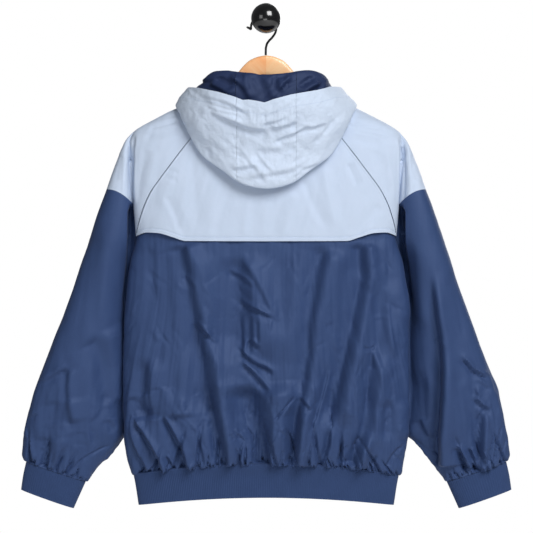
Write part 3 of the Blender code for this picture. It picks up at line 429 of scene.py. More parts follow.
YOKE_CREASES = placed(
    (((-173, 305), (-157, 338), (-142, 378)), (6, 8), -1.8, 0.3, 1.5),
    (((-150, 250), (-170, 290), (-182, 330)), (8, 10), 1.2),
    (((-128, 232), (-122, 300), (-118, 372)), (10, 12), -1.4),
    (((-60, 300), (-80, 340), (-92, 378)), (9, 10), -1.2),
    (((-30, 306), (-36, 345), (-40, 380)), 8, 0.9),
    (((10, 300), (14, 340), (12, 380)), 9, -1.0),
    (((50, 298), (40, 340), (24, 382)), 9, 1.4),
    (((61, 272), (78, 316), (104, 365)), (6, 7), -1.6, 0.2),
    (((98, 250), (104, 299), (113, 332), (121, 372)), (8, 9), 1.7),
    (((196, 320), (169, 355), (150, 378)), 8, -1.8, -0.2),
    (((140, 250), (150, 272), (158, 292)), (5, 6), -2.2, 0.3, 1.5),
    (((120, 176), (140, 214), (150, 246)), 8, -1.2),
    (((-170, 262), (-150, 266)), (3, 4), -0.8),
    (((-172, 276), (-152, 281)), (3, 4), -0.7),
    # the deep fold where each sleeve hangs from its shoulder
    (((-228, 198), (-232, 230), (-233, 275), (-232, 322)), (4, 5), -4.4, -0.3, 1.7,
     (0.12, 0.05)),
    (((231, 200), (236, 232), (236, 275), (234, 322)), (4, 5), -4.4, 0.3, 1.7,
     (0.12, 0.05)),
    # shoulders
    (((132, 176), (170, 186), (206, 190)), (4, 5), -1.9, 0.2, 1.6),
    (((150, 190), (185, 196), (212, 202)), (4.5, 5), -1.8, 0.2, 1.6),
    (((146, 206), (180, 214), (200, 216)), 6, -1.4),
    (((-150, 176), (-176, 184), (-204, 190)), (4, 5), -1.9, 0.2, 1.6),
    (((-150, 190), (-190, 199), (-214, 206)), (5, 6), -1.6, 0.2, 1.6),
    (((190, 225), (200, 270), (212, 312)), (6, 7), -1.6),
    (((206, 222), (216, 268), (220, 322)), (5, 6), 1.3),
    (((-206, 222), (-216, 268), (-220, 322)), (5, 6), -1.4),
    (((-190, 225), (-198, 262), (-205, 296)), (6, 7), 1.2),
) + both_sides(
    (((250, 232), (256, 262), (262, 284)), (5, 6), -1.6),
)

# Where the sleeve's inner edge goes out of sight behind the body, and the line of the crease
# that runs down from the armpit there
SLEEVE_HOLLOW = table(
    "drop x",
    (300, 236), (349, 237), (400, 241), (486, 248.2), (600, 250), (720, 249),
)
ARMPIT_ROUTE = ((234, 322), (235, 377), (237.5, 420), (243, 460), (248, 500))
ARMPIT_SHAPE = (-8, 0.0, 1.35, (0.08, 0.15))

LEFT_SLEEVE_CREASES = steps_of(
    (((-291, 540), (-281, 560), (-275, 582), (-270, 600), (-269, 640), (-266, 668)), (9, 5), 0.5,
     (0.15, 0.12)),
    (((-284, 340), (-288, 480), (-284, 560)), 8, 0.2),
    (((-342, 603), (-343, 640), (-341, 665), (-334, 704)), 4.5, 0.55, (0.1, 0.12)),
    (((-352, 655), (-346, 700)), 8, 0.3),
    (((-336, 600), (-355, 609), (-372, 619), (-390, 629)), 3.4, -0.55),
    (((-395, 680), (-409, 689)), 2, -0.5),
    (((-416, 716), (-409, 745), (-401, 774)), (2.2, 2.8), 0.8, (0.1, 0.02)),
    (((-372, 720), (-373, 745), (-379, 775)), (6, 4), 0.45, (0.2, 0.02)),
    (((-346, 708), (-352, 735), (-364, 770)), (5, 3.6), -0.4),
    (((-310, 705), (-302, 722), (-304, 738)), 3, -0.35),
    (((-281, 690), (-266, 700), (-262, 718)), 3, 0.5),
    (((-276, 662), (-298, 690), (-312, 700)), 3, -0.25),
) + nicks(
    -4.6,
    (((-391, 740), (-386, 752), (-384, 776)), 3),
    (((-345, 738), (-352, 752), (-366, 782)), (3.4, 3.6)),
    (((-264, 736), (-285, 744), (-303, 753), (-322, 766), (-342, 788)), (2, 2.6)),
    (((-330, 764), (-346, 784)), (1.8, 2.4)),
    (((-366, 744), (-374, 780)), (2, 2.6)),
) + placed(
    (tuple((-x, drop) for x, drop in ARMPIT_ROUTE), (3.6, 2.4), *ARMPIT_SHAPE),
    (((-250, 380), (-256, 480), (-262, 560)), (7, 9), 2.2),
    (((-306, 400), (-322, 520), (-330, 600)), (8, 10), -1.8),
    (((-335, 706), (-350, 740), (-368, 776)), (6, 4), 3.0, 0.0, 1.8),
    (((-380, 708), (-380, 738)), (10, 8), 2.6, 0.0, 2),
    (((-322, 712), (-322, 740)), (11, 9), -2.8, 0.0, 2),
    (((-350, 520), (-366, 580), (-384, 640)), 9, 1.6),
    (((-278, 672), (-262, 676)), 1.8, -1.4, 0.0, 1.4),
    (((-279, 688), (-262, 691)), 2, -1.8, 0.0, 1.4),
)

RIGHT_SLEEVE_CREASES = steps_of(
    (((285, 430), (291, 490), (296, 530), (300, 556), (302, 590), (303, 620), (302, 660), (300, 700),
      (297, 740), (297, 775)), (4.5, 7), 0.75, (0.2, 0.02)),
    (((302, 570), (303, 640), (300, 700), (297, 772)), (5, 6), 0.4),
    (((256, 380), (262, 480), (268, 560)), (7, 9), 0.16),
    (((276, 600), (276, 680), (282, 750)), 7, 0.28),
    (((286, 551), (297, 558), (307, 566)), 2, 0.6),
    (((328, 582), (345, 593), (352, 604), (375, 616), (389, 621)), (2.4, 2.6), 0.8),
    (((362, 622), (387, 640)), 2.2, 0.5),
    (((355, 651), (371, 667), (389, 676)), 2.4, 0.75),
    (((359, 638), (366, 656)), 2, 0.6),
    (((374, 672), (372, 720), (371, 748), (372, 782)), (4, 4.6), 0.9, (0.2, 0.02)),
    (((326, 736), (336, 750), (349, 778)), (2.4, 4), 0.9, (0.15, 0.02)),
    (((351, 740), (358, 760), (365, 780)), (2.2, 3), 0.8, (0.15, 0.02)),
    (((262, 690), (270, 716), (274, 732)), 4, 0.4),
) + nicks(
    -3.8,
    (((409, 698), (398, 735), (391, 768)), (1.8, 2.4)),
    (((392, 716), (386, 748), (382, 770)), (1.8, 2.4)),
    (((418, 722), (408, 750), (404, 768)), (1.8, 2.4)),
    (((334, 768), (345, 786)), (1.6, 2.2)),
    (((382, 738), (380, 774)), (1.6, 2.2)),
) + placed(
    (ARMPIT_ROUTE, (3.4, 2.2), *ARMPIT_SHAPE),
    (((258, 380), (262, 460), (270, 540)), (8, 9), 1.6),
    (((318, 430), (332, 500), (342, 560)), (8, 9), -1.6),
    (((330, 620), (334, 690), (330, 740)), (14, 12), 2.4, 0.0, 2),
    (((354, 600), (356, 660), (358, 730)), (6, 7), -1.8),
    (((400, 640), (404, 690)), 6, 1.6),
)

FRONT_CREASES = placed(
    (((-120, 392), (-112, 520), (-96, 640), (-82, 772)), (6, 12), -6, -0.2, 1.7, (0.1, 0.05)),
    (((-182, 470), (-172, 600), (-150, 700), (-138, 776)), (7, 10), -5, 0.2, 1.7, (0.2, 0.05)),
    (((-64, 420), (-56, 540), (-44, 650), (-34, 770)), (7, 10), -4.4, 0.2, 1.8, (0.2, 0.05)),
    (((-222, 600), (-206, 690), (-190, 782)), (6, 7), -4, -0.2, 1.6, (0.2, 0.05)),
    (((-130, 560), (-92, 600), (-74, 640)), (5, 6), -3.2, 0.3, 1.4),
    (((-196, 430), (-150, 470), (-120, 520)), (6, 7), -2.4, 0.3, 1.4),
    (((130, 392), (118, 520), (106, 640), (88, 772)), (6, 12), -6, 0.2, 1.7, (0.1, 0.05)),
    (((196, 480), (180, 600), (164, 700), (144, 776)), (7, 10), -5, -0.2, 1.7, (0.2, 0.05)),
    (((60, 430), (58, 540), (40, 650), (38, 770)), (7, 10), -4.4, 0.2, 1.8, (0.2, 0.05)),
    (((228, 610), (214, 690), (196, 782)), (6, 7), -4, -0.2, 1.6, (0.2, 0.05)),
    (((140, 540), (106, 590), (84, 636)), (5, 6), -3.2, 0.3, 1.4),
    (((206, 436), (164, 470), (132, 500)), (6, 7), -2.4, 0.3, 1.4),
    (((-160, 240), (-120, 300), (-90, 370)), (9, 11), -2.0),
    (((-196, 280), (-180, 330), (-170, 372)), (8, 9), 1.8),
    (((-60, 216), (-66, 290), (-60, 368)), (9, 10), -1.6),
    (((160, 244), (124, 304), (98, 370)), (9, 11), -2.0),
    (((196, 280), (184, 330), (168, 372)), (8, 9), 1.8),
    (((58, 218), (68, 290), (62, 368)), (9, 10), -1.6),
    (((-286, 400), (-290, 520), (-284, 640)), (9, 12), -5),
    (((286, 400), (290, 520), (288, 640)), (9, 12), -5),
) + both_sides(
    (((-340, 560), (-352, 640), (-366, 770)), 8, -4.6, 0.0, 1.6, (0.2, 0.06)),
    (((-290, 660), (-306, 720), (-328, 786)), (8, 7), -4.4, 0.0, 1.6, (0.2, 0.06)),
    (((-384, 640), (-392, 700), (-396, 766)), 6, -3.6, 0.0, 1.6, (0.2, 0.06)),
)

HOOD_CREASES = steps_of(
    # folds that fan out from the left corner and the deep sag under them
    (((-120, 133), (-100, 140), (-80, 146), (-60, 153), (-38, 165), (-27, 173)), (3.2, 2.6), 0.75),
    (((-112, 142), (-88, 152), (-62, 160), (-38, 167)), (2.8, 2.4), 0.6),
    (((-106, 152), (-88, 161), (-70, 166), (-52, 171)), 2.2, 0.5),
    (((-106, 160), (-90, 168), (-75, 175), (-60, 182), (-48, 187), (-30, 193), (-8, 196), (6, 196)),
     (3, 4.6), 1.0, (0.3, 0.12)),
    (((58, 179), (40, 187), (20, 192), (2, 196)), (2.6, 4), -0.8),
    (((39, 171), (22, 180), (5, 184), (-16, 188)), (2.4, 3), -0.7),
    # right half
    (((80, 190), (60, 196), (44, 203), (28, 208), (8, 219)), (3, 2.4), -0.8),
    (((106, 183), (90, 188), (70, 195)), 2.6, -0.7),
    (((60, 190), (80, 191)), 2.2, 0.5),
    (((128, 164), (118, 182), (98, 205), (76, 232)), 3, 0.5),
    # under the star
    (((-24, 230), (2, 230), (38, 231)), 4.5, 0.34),
    (((-46, 222), (-30, 247), (-10, 270), (6, 291)), (2.2, 2.6), 0.55),
    (((-22, 227), (-4, 252), (14, 270)), (2, 2.2), 0.4),
    (((-13, 256), (-38, 259), (-63, 263)), 3.2, -0.7),
    (((60, 260), (30, 267), (5, 271), (-20, 276), (-44, 280)), 4, -0.55),
    (((98, 249), (80, 256), (56, 263)), 2.4, -0.7),
    (((-98, 200), (-80, 226), (-60, 248)), 6, 0.22),
    (((30, 236), (52, 229)), 2.4, -0.4),
    (((-120, 196), (-96, 232), (-66, 262)), 5, 0.14),
) + nicks(
    -1.5,
    *((((-53 + k % 2, 234 + 4.6 * k), (-42 - k % 3, 236 + 4.8 * k)), 1.4) for k in range(5)),
    *((((56, 240 + 6 * k), (68 - 3 * (k % 2), 243 + 6 * k)), 1.5) for k in range(6)),
    (((40, 285), (50, 276), (62, 268)), 1.8),
    (((48, 150), (62, 156)), 1.6),
    (((58, 166), (66, 178)), 1.5),
    (((70, 176), (84, 170)), 1.6),
    (((86, 150), (96, 142)), 1.6),
    (((-62, 226), (-54, 232)), 1.8),
) + placed(
    (((-31, 158), (-27, 172), (-20, 188)), (3, 3.4), 2.6, 0.0, 1.4),
    (((46, 146), (22, 158), (0, 172), (-20, 188)), (3, 3.2), 1.8, 0.0, 1.4),
    (((88, 194), (60, 206), (30, 218), (2, 226)), 3.4, 2.2, 0.0, 1.4, (0.3, 0.05)),
    (((-48, 200), (-20, 212), (2, 226)), (3.4, 3.2), 2.0, 0.0, 1.4, (0.3, 0.05)),
    (((2, 226), (0, 244), (-2, 262)), 3, 1.2, 0.0, 1.4),
    (((-48, 221), (-32, 247), (-12, 270), (4, 291)), (2.6, 2.8), 2.0, 0.0, 1.4),
    (((132, 160), (120, 182), (100, 205), (82, 228), (66, 260)), 4, -2.2, 0.0, 1.5),
    (((134, 178), (112, 206), (92, 238), (80, 262)), 6, 2.0, 0.0, 1.8),
    (((-128, 150), (-112, 190), (-86, 232), (-60, 268)), (9, 10), 2.2, 0.0, 1.8),
    (((-60, 236), (-50, 246), (-48, 258)), 4, 2.2, 0.0, 1.6),
    (((76, 240), (62, 250), (52, 258)), 4, 2.4, 0.0, 1.6),
    (((-28, 264), (-20, 268), (-10, 270)), 4, 1.8, 0.0, 1.6),
)


# ---------------------------------------------------------------- curves and sections


def hermite(first, second, slope_1, slope_2, t):
    """A cubic from first to second as t runs from 0 to 1, with these slopes at its ends."""
    return (
        first * (1 + 2 * t) * (1 - t) ** 2
        + slope_1 * t * (1 - t) ** 2
        + second * t * t * (3 - 2 * t)
        + slope_2 * t * t * (t - 1)
    )


def summed(steps):
    """Distance passed at each point of a line whose steps are these lengths."""
    return np.concatenate([[0], np.cumsum(steps)])


def signed_power(value, power):
    """A power of the size of a value, with the value's own sign."""
    return np.sign(value) * np.abs(value) ** power


def smooth(at, knots, values):
    """A smooth curve through the knots that never overshoots them: a cubic on each span
    whose end slopes are the harmonic means of the rises on both sides."""
    at = np.clip(np.asarray(at, float), knots[0], knots[-1])
    step = np.diff(knots)
    rise = np.diff(values) / step
    slope = np.zeros(len(knots))
    same_way = rise[:-1] * rise[1:] > 0
    weight_1 = 2 * step[1:] + step[:-1]
    weight_2 = step[1:] + 2 * step[:-1]
    with np.errstate(divide="ignore", invalid="ignore"):
        mean = (weight_1 + weight_2) / (weight_1 / rise[:-1] + weight_2 / rise[1:])
    slope[1:-1] = np.where(same_way, mean, 0.0)
    slope[0] = rise[0]
    slope[-1] = rise[-1]
    i = np.clip(np.searchsorted(knots, at, side="right") - 1, 0, len(step) - 1)
    t = (at - knots[i]) / step[i]
    return hermite(values[i], values[i + 1], slope[i] * step[i], slope[i + 1] * step[i], t)


def fade(value, start, end):
    """0 before start, 1 after end, and an even S between them."""
    t = np.clip((value - start) / (end - start), 0, 1)
    return t * t * (3 - 2 * t)


def along(share, column):
    """A table column as a smooth function of the share of its rows passed, 0 to 1."""
    return smooth(share, np.linspace(0, 1, len(column)), column)


def body_at(drop, column):
    """A column of the body's table at a drop."""
    return smooth(drop, BODY["drop"], BODY[column])


def outline_at(drop):
    """Half width of shoulder and sleeve at a drop."""
    return smooth(drop, OUTLINE["drop"], OUTLINE["half_width"])


def superellipse(share, power):
    """Height of a unit superellipse at a share of its half width."""
    return (1 - np.clip(np.abs(share), 0, 1) ** power) ** (1 / power)


def fold_relief(x, drop):
    """Soft ridges of the back: a bell across each fold's line, faded at both ends."""
    relief = np.zeros(np.broadcast(x, drop).shape)
    for i in range(len(BACK_FOLDS["height"])):
        fold = {name: column[i] for name, column in BACK_FOLDS.items()}
        share = (drop - fold["top_drop"]) / (fold["low_drop"] - fold["top_drop"])
        line_x = fold["top_x"] + (fold["low_x"] - fold["top_x"]) * share
        bell = np.exp(-(((x - line_x) / fold["half_width"]) ** 2))
        ends = fade(share, -0.02, 0.3) * fade(share, 1.02, 0.75)
        relief = relief + fold["height"] * bell * ends
    return relief


def garment_depth(x, drop, side, inset=0.0):
    """Distance of the cloth from the middle plane at a place seen from behind: half a
    superellipse across the body, then a second one across the sleeve."""
    size = np.abs(x)
    half = body_at(drop, "half_width") - inset
    full = body_at(drop, side) - inset
    floor = smooth(drop, GROOVE["drop"], GROOVE["floor"])
    hump = smooth(drop, GROOVE["drop"], GROOVE["hump"])
    if side == "front":
        hump = np.maximum(hump * FRONT_SLEEVE_SHARE, floor)
    body = floor + (full - floor) * superellipse(size / half, body_at(drop, "squareness"))
    across = np.clip((size - half) / np.maximum(outline_at(drop) - half, 0.5), 0, 1)
    arch = superellipse(2 * across - 1, SLEEVE_SQUARENESS)
    inner_arch = arch ** (1 + 0.9 * fade(drop, 270, 370))
    sleeve = np.where(across < 0.5, floor + (hump - floor) * inner_arch, hump * arch)
    return np.where(size <= half, body, sleeve)


def garment_points(x, drop, side, inset=0.0, extra=0.0):
    """Points of the cloth: x and height as seen from behind, y from the depth there."""
    x, drop, extra = np.broadcast_arrays(x, drop, extra)
    depth = garment_depth(x, drop, side, inset) + extra
    sign = -1.0 if side == "back" else 1.0
    y = body_at(drop, "middle") + sign * depth
    return np.stack([x, y, -drop], axis=-1)


def even_shares(cells, aspect, power):
    """Shares of the half width, -1 to 1, evenly spaced round a half superellipse."""
    angle = np.linspace(0, math.pi, 4001)
    x = -signed_power(np.cos(angle), 2 / power)
    depth = aspect * np.sin(angle) ** (2 / power)
    length = summed(np.hypot(np.diff(x), np.diff(depth)))
    return np.interp(np.linspace(0, length[-1], cells + 1), length, x)


def mirrored(grid):
    """The same grid on the other side, with its columns turned round to face outwards."""
    return grid[:, ::-1] * np.array([-1.0, 1.0, 1.0])


# ---------------------------------------------------------------- creases


def crease_height(x, drop, crease):
    """Height of one crease across the nearest point of its line, faded in and out along
    the line. A soft one is a bell with a slight rise where its flanks end, a crisp one has
    two flat flanks that meet in an edge, and a step is a slope between a hollow and a ridge
    that both run out slowly."""
    route = np.array(crease.route, float)
    chord = summed(np.hypot(*np.diff(route, axis=0).T))
    steps = max(2, int(chord[-1] / ROUTE_SPACING) + 1)
    at = np.linspace(0, chord[-1], steps + 1)
    line_x, line_drop = smooth(at, chord, route[:, 0]), smooth(at, chord, route[:, 1])
    reach = (2.4 * STEP_REACH if crease.crisp == STEP else 3.2) * max(crease.widths)
    near = (
        (x > line_x.min() - reach) & (x < line_x.max() + reach)
        & (drop > line_drop.min() - reach) & (drop < line_drop.max() + reach)
    )
    height = np.zeros(x.shape)
    px, pd = x[near], drop[near]
    if not len(px):
        return height
    best = np.full(px.shape, np.inf)
    side = np.zeros(px.shape)
    share = np.zeros(px.shape)
    for k in range(steps):
        dx, dd = line_x[k + 1] - line_x[k], line_drop[k + 1] - line_drop[k]
        length = math.hypot(dx, dd)
        ax, ad = px - line_x[k], pd - line_drop[k]
        t = np.clip((ax * dx + ad * dd) / length**2, 0, 1)
        distance = np.hypot(ax - t * dx, ad - t * dd)
        closer = distance < best
        best = np.where(closer, distance, best)
        side = np.where(closer, np.sign(dd * ax - dx * ad), side)
        share = np.where(closer, (k + t) / steps, share)
    width = crease.widths[0] + (crease.widths[1] - crease.widths[0]) * share
    across = best / (width * (1 + crease.lean * side))
    if crease.crisp == STEP:
        profile = side * width * np.tanh(across) * np.exp(-((across / STEP_REACH) ** 2))
    elif crease.crisp < CRISP:
        profile = np.clip(1 - across / FLANK_REACH, 0, 1)
    else:
        rim = np.exp(-(((across - RIM_AT) / RIM_WIDTH) ** 2))
        profile = np.exp(-(across**crease.crisp)) - RIM_HEIGHT * rim
    ends = fade(share, 0, crease.ends[0]) * fade(share, 1, 1 - crease.ends[1])
    height[near] = crease.height * profile * ends
    return height


def creased(x, drop, creases):
    """Sum of the heights of creases."""
    total = np.zeros(x.shape)
    for crease in creases:
        total += crease_height(x, drop, crease)
    return total


def noise(u, v, seed):
    """Smooth random heights, about -1 to 1: at each whole (u, v) a random slope, and an
    S-shaped blend of the four nearest slopes' planes between them."""
    angles = np.random.default_rng(seed).uniform(0, 2 * math.pi, (64, 64))
    i, j = np.floor(u).astype(int), np.floor(v).astype(int)
    a, b = u - i, v - j

    def plane(di, dj):
        angle = angles[(i + di) % 64, (j + dj) % 64]
        return np.cos(angle) * (a - di) + np.sin(angle) * (b - dj)

    across = fade(a, 0, 1)
    low = plane(0, 0) + (plane(1, 0) - plane(0, 0)) * across
    high = plane(0, 1) + (plane(1, 1) - plane(0, 1)) * across
    return 1.5 * (low + (high - low) * fade(b, 0, 1))


def facets(x, drop, pitch, stretch, angle, seed):
    """Facets of crushed cloth: flat triangles between random heights, about -1 to 1, at the
    corners of a net that is longer by stretch along a direction and unevenly warped."""
    c, s = math.cos(angle), math.sin(angle)
    u = (x * c + drop * s) / pitch
    v = (-x * s + drop * c) / (pitch * stretch)
    u, v = u + 0.7 * noise(u * 0.6, v * 0.6, seed + 1), v + 0.7 * noise(u * 0.6, v * 0.6, seed + 2)
    rng = np.random.default_rng(seed)
    heights, turned = rng.uniform(-1, 1, (64, 64)), rng.random((64, 64)) < 0.5
    i, j = np.floor(u).astype(int), np.floor(v).astype(int)
    a, b = u - i, v - j

    def height(di, dj):
        return heights[(i + di) % 64, (j + dj) % 64]

    h00, h10, h01, h11 = height(0, 0), height(1, 0), height(0, 1), height(1, 1)
    one_way = np.where(a + b < 1, h00 + a * (h10 - h00) + b * (h01 - h00),
                       h11 + (1 - a) * (h01 - h11) + (1 - b) * (h10 - h11))
    other_way = np.where(a > b, h00 + a * (h10 - h00) + b * (h11 - h10),
                         h00 + b * (h01 - h00) + a * (h11 - h01))
    return np.where(turned[i % 64, j % 64], one_way, other_way)


def scattered(seed, count, box, lengths, widths, heights, angle, spread):
    """Short random creases in a box of (x, drop), most of them near one direction."""
    rng = np.random.default_rng(seed)
    (x0, d0), (x1, d1) = box
    made = []
    for _ in range(count):
        x, drop = rng.uniform(x0, x1), rng.uniform(d0, d1)
        turn = angle + rng.normal(0, spread)
        half = rng.uniform(*lengths) / 2
        bow = rng.normal(0, 0.12) * half
        dx, dd = math.sin(turn) * half, math.cos(turn) * half
        route = ((x - dx, drop - dd), (x + bow * math.cos(turn), drop - bow * math.sin(turn)),
                 (x + dx, drop + dd))
        width = rng.uniform(*widths)
        height = rng.uniform(*heights) * rng.choice((-1, 1), p=(0.65, 0.35))
        made.append(Crease(route, (width, width * rng.uniform(0.8, 1.3)), height,
                           rng.uniform(-0.4, 0.4), rng.uniform(1.2, 1.6), (0.3, 0.3)))
    return made


# ---------------------------------------------------------------- meshes


def quads_of(rows, columns, around):
    """Corner numbers of each cell of a grid whose columns may close into a ring."""
    last = columns if around else columns - 1
    i, j = np.meshgrid(np.arange(rows - 1), np.arange(last), indexing="ij")
    i, j = i.ravel(), j.ravel()
    right = (j + 1) % columns
    return np.stack([i * columns + j, i * columns + right,
                     (i + 1) * columns + right, (i + 1) * columns + j], axis=1)


def grid_normals(grid, around=False):
    """Normal at each point of a grid: the cross product of the steps to its neighbours."""
    if around:
        crosswise = np.roll(grid, -1, axis=1) - np.roll(grid, 1, axis=1)
    else:
        crosswise = np.gradient(grid, axis=1)
    lengthwise = np.gradient(grid, axis=0)
    normals = np.cross(crosswise, lengthwise)
    length = np.linalg.norm(normals, axis=2, keepdims=True)
    return normals / np.maximum(length, 1e-9)


def calmed(normals, passes, around=False):
    """Normals evened out with their neighbours, so a wall can follow a tight fold."""
    for _ in range(passes):
        sideways = "wrap" if around else "edge"
        wide = np.pad(normals, ((0, 0), (1, 1), (0, 0)), mode=sideways)
        tall = np.pad(normals, ((1, 1), (0, 0), (0, 0)), mode="edge")
        normals = 2 * normals + wide[:, :-2] + wide[:, 2:] + tall[:-2] + tall[2:]
        normals /= np.linalg.norm(normals, axis=2, keepdims=True)
    return normals


def steps_along(grid, axis):
    """Distance passed from the first row or column of a grid to each point."""
    step = np.linalg.norm(np.diff(grid, axis=axis), axis=2)
    first = np.zeros_like(np.take(step, [0], axis=axis))
    return np.concatenate([first, np.cumsum(step, axis=axis)], axis=axis)


def place(name, points, faces, material, uv=None, sharp=None):
    """An object at the origin whose mesh holds these points, given in millimetres, and
    these faces, all with the same number of corners. uv is one place for each point."""
    points = np.asarray(points, float).reshape(-1, 3) * MM
    faces = np.asarray(faces, int)
    mesh = bpy.data.meshes.new(name)
    mesh.vertices.add(len(points))
    mesh.vertices.foreach_set("co", points.ravel())
    mesh.loops.add(faces.size)
    mesh.loops.foreach_set("vertex_index", faces.ravel())
    mesh.polygons.add(len(faces))
    mesh.polygons.foreach_set("loop_start", np.arange(0, faces.size, faces.shape[1]))
    mesh.update(calc_edges=True)
    mesh.validate()
    if uv is not None:
        layer = mesh.uv_layers.new(name="Cloth")
        layer.data.foreach_set("uv", np.asarray(uv, float).reshape(-1, 2)[faces.ravel()].ravel())
    mesh.materials.append(material)
    mesh.shade_smooth()
    if sharp:
        mesh.set_sharp_from_angle(angle=math.radians(sharp))
    piece = bpy.data.objects.new(name, mesh)
    bpy.context.scene.collection.objects.link(piece)
    return piece


def boundary(rows, columns):
    """Corner numbers round the edge of a grid, once round and back to the first."""
    top = np.arange(columns)
    right = np.arange(1, rows) * columns + columns - 1
    bottom = (rows - 1) * columns + np.arange(columns - 1)[::-1]
    left = np.arange(rows - 1)[::-1] * columns
    return np.concatenate([top, right, bottom, left])


def walled(name, outer, thickness, material, around=False, every=2):
    """A closed wall of cloth: the grid that shows, its copy one thickness behind it, which
    keeps every first or every second point each way, and rims between the two. Its map
    holds the distances along the cloth."""
    normals = calmed(grid_normals(outer, around), WALL_CALM, around)
    back = (outer - normals * thickness)[::every, ::every]
    rows, columns, _ = outer.shape
    back_rows, back_columns, _ = back.shape
    fine = quads_of(rows, columns, around)
    coarse = quads_of(back_rows, back_columns, around)[:, ::-1] + rows * columns
    faces = [fine[:, [0, 1, 2]], fine[:, [0, 2, 3]], coarse[:, [0, 1, 2]], coarse[:, [0, 2, 3]]]
    if around:
        ring, back_ring = np.arange(columns + 1) % columns, np.arange(back_columns + 1) % back_columns
        last, back_last = (rows - 1) * columns, (back_rows - 1) * back_columns
        edges = [(ring, back_ring), (ring[::-1] + last, back_ring[::-1] + back_last)]
    else:
        edges = [(boundary(rows, columns), boundary(back_rows, back_columns))]
    for edge, back_edge in edges:
        start, middle, end = edge[:-1:every], edge[every - 1 :: every], edge[every::every]
        below = back_edge + rows * columns
        if every == 2:
            faces.append(np.stack([start, below[:-1], middle], axis=1))
        else:
            middle = start
        faces.append(np.stack([middle, below[:-1], below[1:]], axis=1))
        faces.append(np.stack([middle, below[1:], end], axis=1))
    u = steps_along(outer, 1)
    u = u - u[:, columns // 2 : columns // 2 + 1]
    uv = np.stack([u, -steps_along(outer, 0)], axis=-1) * MM
    points = np.concatenate([outer.reshape(-1, 3), back.reshape(-1, 3)])
    map_places = np.concatenate([uv.reshape(-1, 2), uv[::every, ::every].reshape(-1, 2)])
    return place(name, points, np.concatenate(faces), material, map_places, 60)


def raised(grid, relief, around=False):
    """The grid moved along its calmed normals by the relief."""
    return grid + calmed(grid_normals(grid, around), RELIEF_CALM, around) * relief[..., None]


def tube(name, line, radii, sides, material):
    """A round rod of changing radius along a line, closed with flat ends: a circle in the
    plane across the line at each of its points."""
    line = np.asarray(line, float)
    radii = np.broadcast_to(radii, len(line))
    tangent = np.gradient(line, axis=0)
    tangent /= np.linalg.norm(tangent, axis=1, keepdims=True)
    first = np.cross(tangent, (0.0, 1.0, 0.0))
    first /= np.linalg.norm(first, axis=1, keepdims=True)
    second = np.cross(tangent, first)
    turn = np.linspace(0, 2 * math.pi, sides, endpoint=False)
    rings = (
        line[:, None]
        + radii[:, None, None] * (np.cos(turn)[None, :, None] * first[:, None]
                                  + np.sin(turn)[None, :, None] * second[:, None])
    )
    return closed_loft(name, rings, material)


def closed_loft(name, rings, material, sharp=35):
    """A solid through rings of points, with a fan to the middle at each end."""
    rings = np.asarray(rings, float)
    count, sides, _ = rings.shape
    spine = rings[1].mean(axis=0) - rings[0].mean(axis=0)
    turn = np.cross(rings[0] - rings[0].mean(axis=0), np.roll(rings[0], -1, axis=0)).sum(axis=0)
    if np.dot(turn, spine) > 0:
        rings = rings[:, ::-1]
    points = np.concatenate([rings.reshape(-1, 3), rings[:1].mean(axis=1), rings[-1:].mean(axis=1)])
    quads = quads_of(count, sides, True)
    ring = np.arange(sides)
    after = (ring + 1) % sides
    last = (count - 1) * sides
    start_cap = np.stack([after, ring, np.full(sides, count * sides)], axis=1)
    end_cap = np.stack([last + ring, last + after, np.full(sides, count * sides + 1)], axis=1)
    triangles = np.concatenate([quads[:, [0, 1, 2]], quads[:, [0, 2, 3]], start_cap, end_cap])
    return place(name, points, triangles, material, sharp=sharp)


# ---------------------------------------------------------------- materials


def linear(hex_colour):
    """An sRGB hex colour as linear red, green, blue and alpha."""
    text = hex_colour.lstrip("#")
    srgb = np.array([int(text[i : i + 2], 16) for i in (0, 2, 4)]) / 255
    rgb = np.where(srgb <= 0.04045, srgb / 12.92, ((srgb + 0.055) / 1.055) ** 2.4)
    return (*rgb.tolist(), 1.0)


def add(tree, kind, inputs=(), to=None, out=0, **settings):
    """Adds a node, sets its properties, sets or links its inputs, and links its output of
    this number to a socket, if one is given."""
    made = tree.nodes.new("ShaderNode" + kind)
    for name, value in settings.items():
        setattr(made, name, value)
    for socket, value in dict(inputs).items():
        if isinstance(value, bpy.types.NodeSocket):
            tree.links.new(value, made.inputs[socket])
        else:
            made.inputs[socket].default_value = value
    if to:
        tree.links.new(made.outputs[out], to)
    return made


def base_colour(tree, shader, colour, other, share):
    """Mixes the shader's base colour from two colours by a texture's value."""
    add(tree, "Mix", {6: colour, 7: other, 0: share}, shader.inputs["Base Color"], 2, data_type="RGBA")


def object_noise(tree, scale, **inputs):
    """The value of a noise texture laid out in the object's own coordinates."""
    laid = add(tree, "TexCoord").outputs["Object"]
    return add(tree, "TexNoise", {"Vector": laid, "Scale": scale, **inputs}).outputs["Fac"]


def new_material(name, **sockets):
    """A material with a Principled shader whose constant sockets are set."""
    material = bpy.data.materials.new(name)
    material.use_nodes = True
    shader = material.node_tree.nodes["Principled BSDF"]
    for socket, value in sockets.items():
        shader.inputs[socket.replace("_", " ")].default_value = value
    return material, material.node_tree, shader


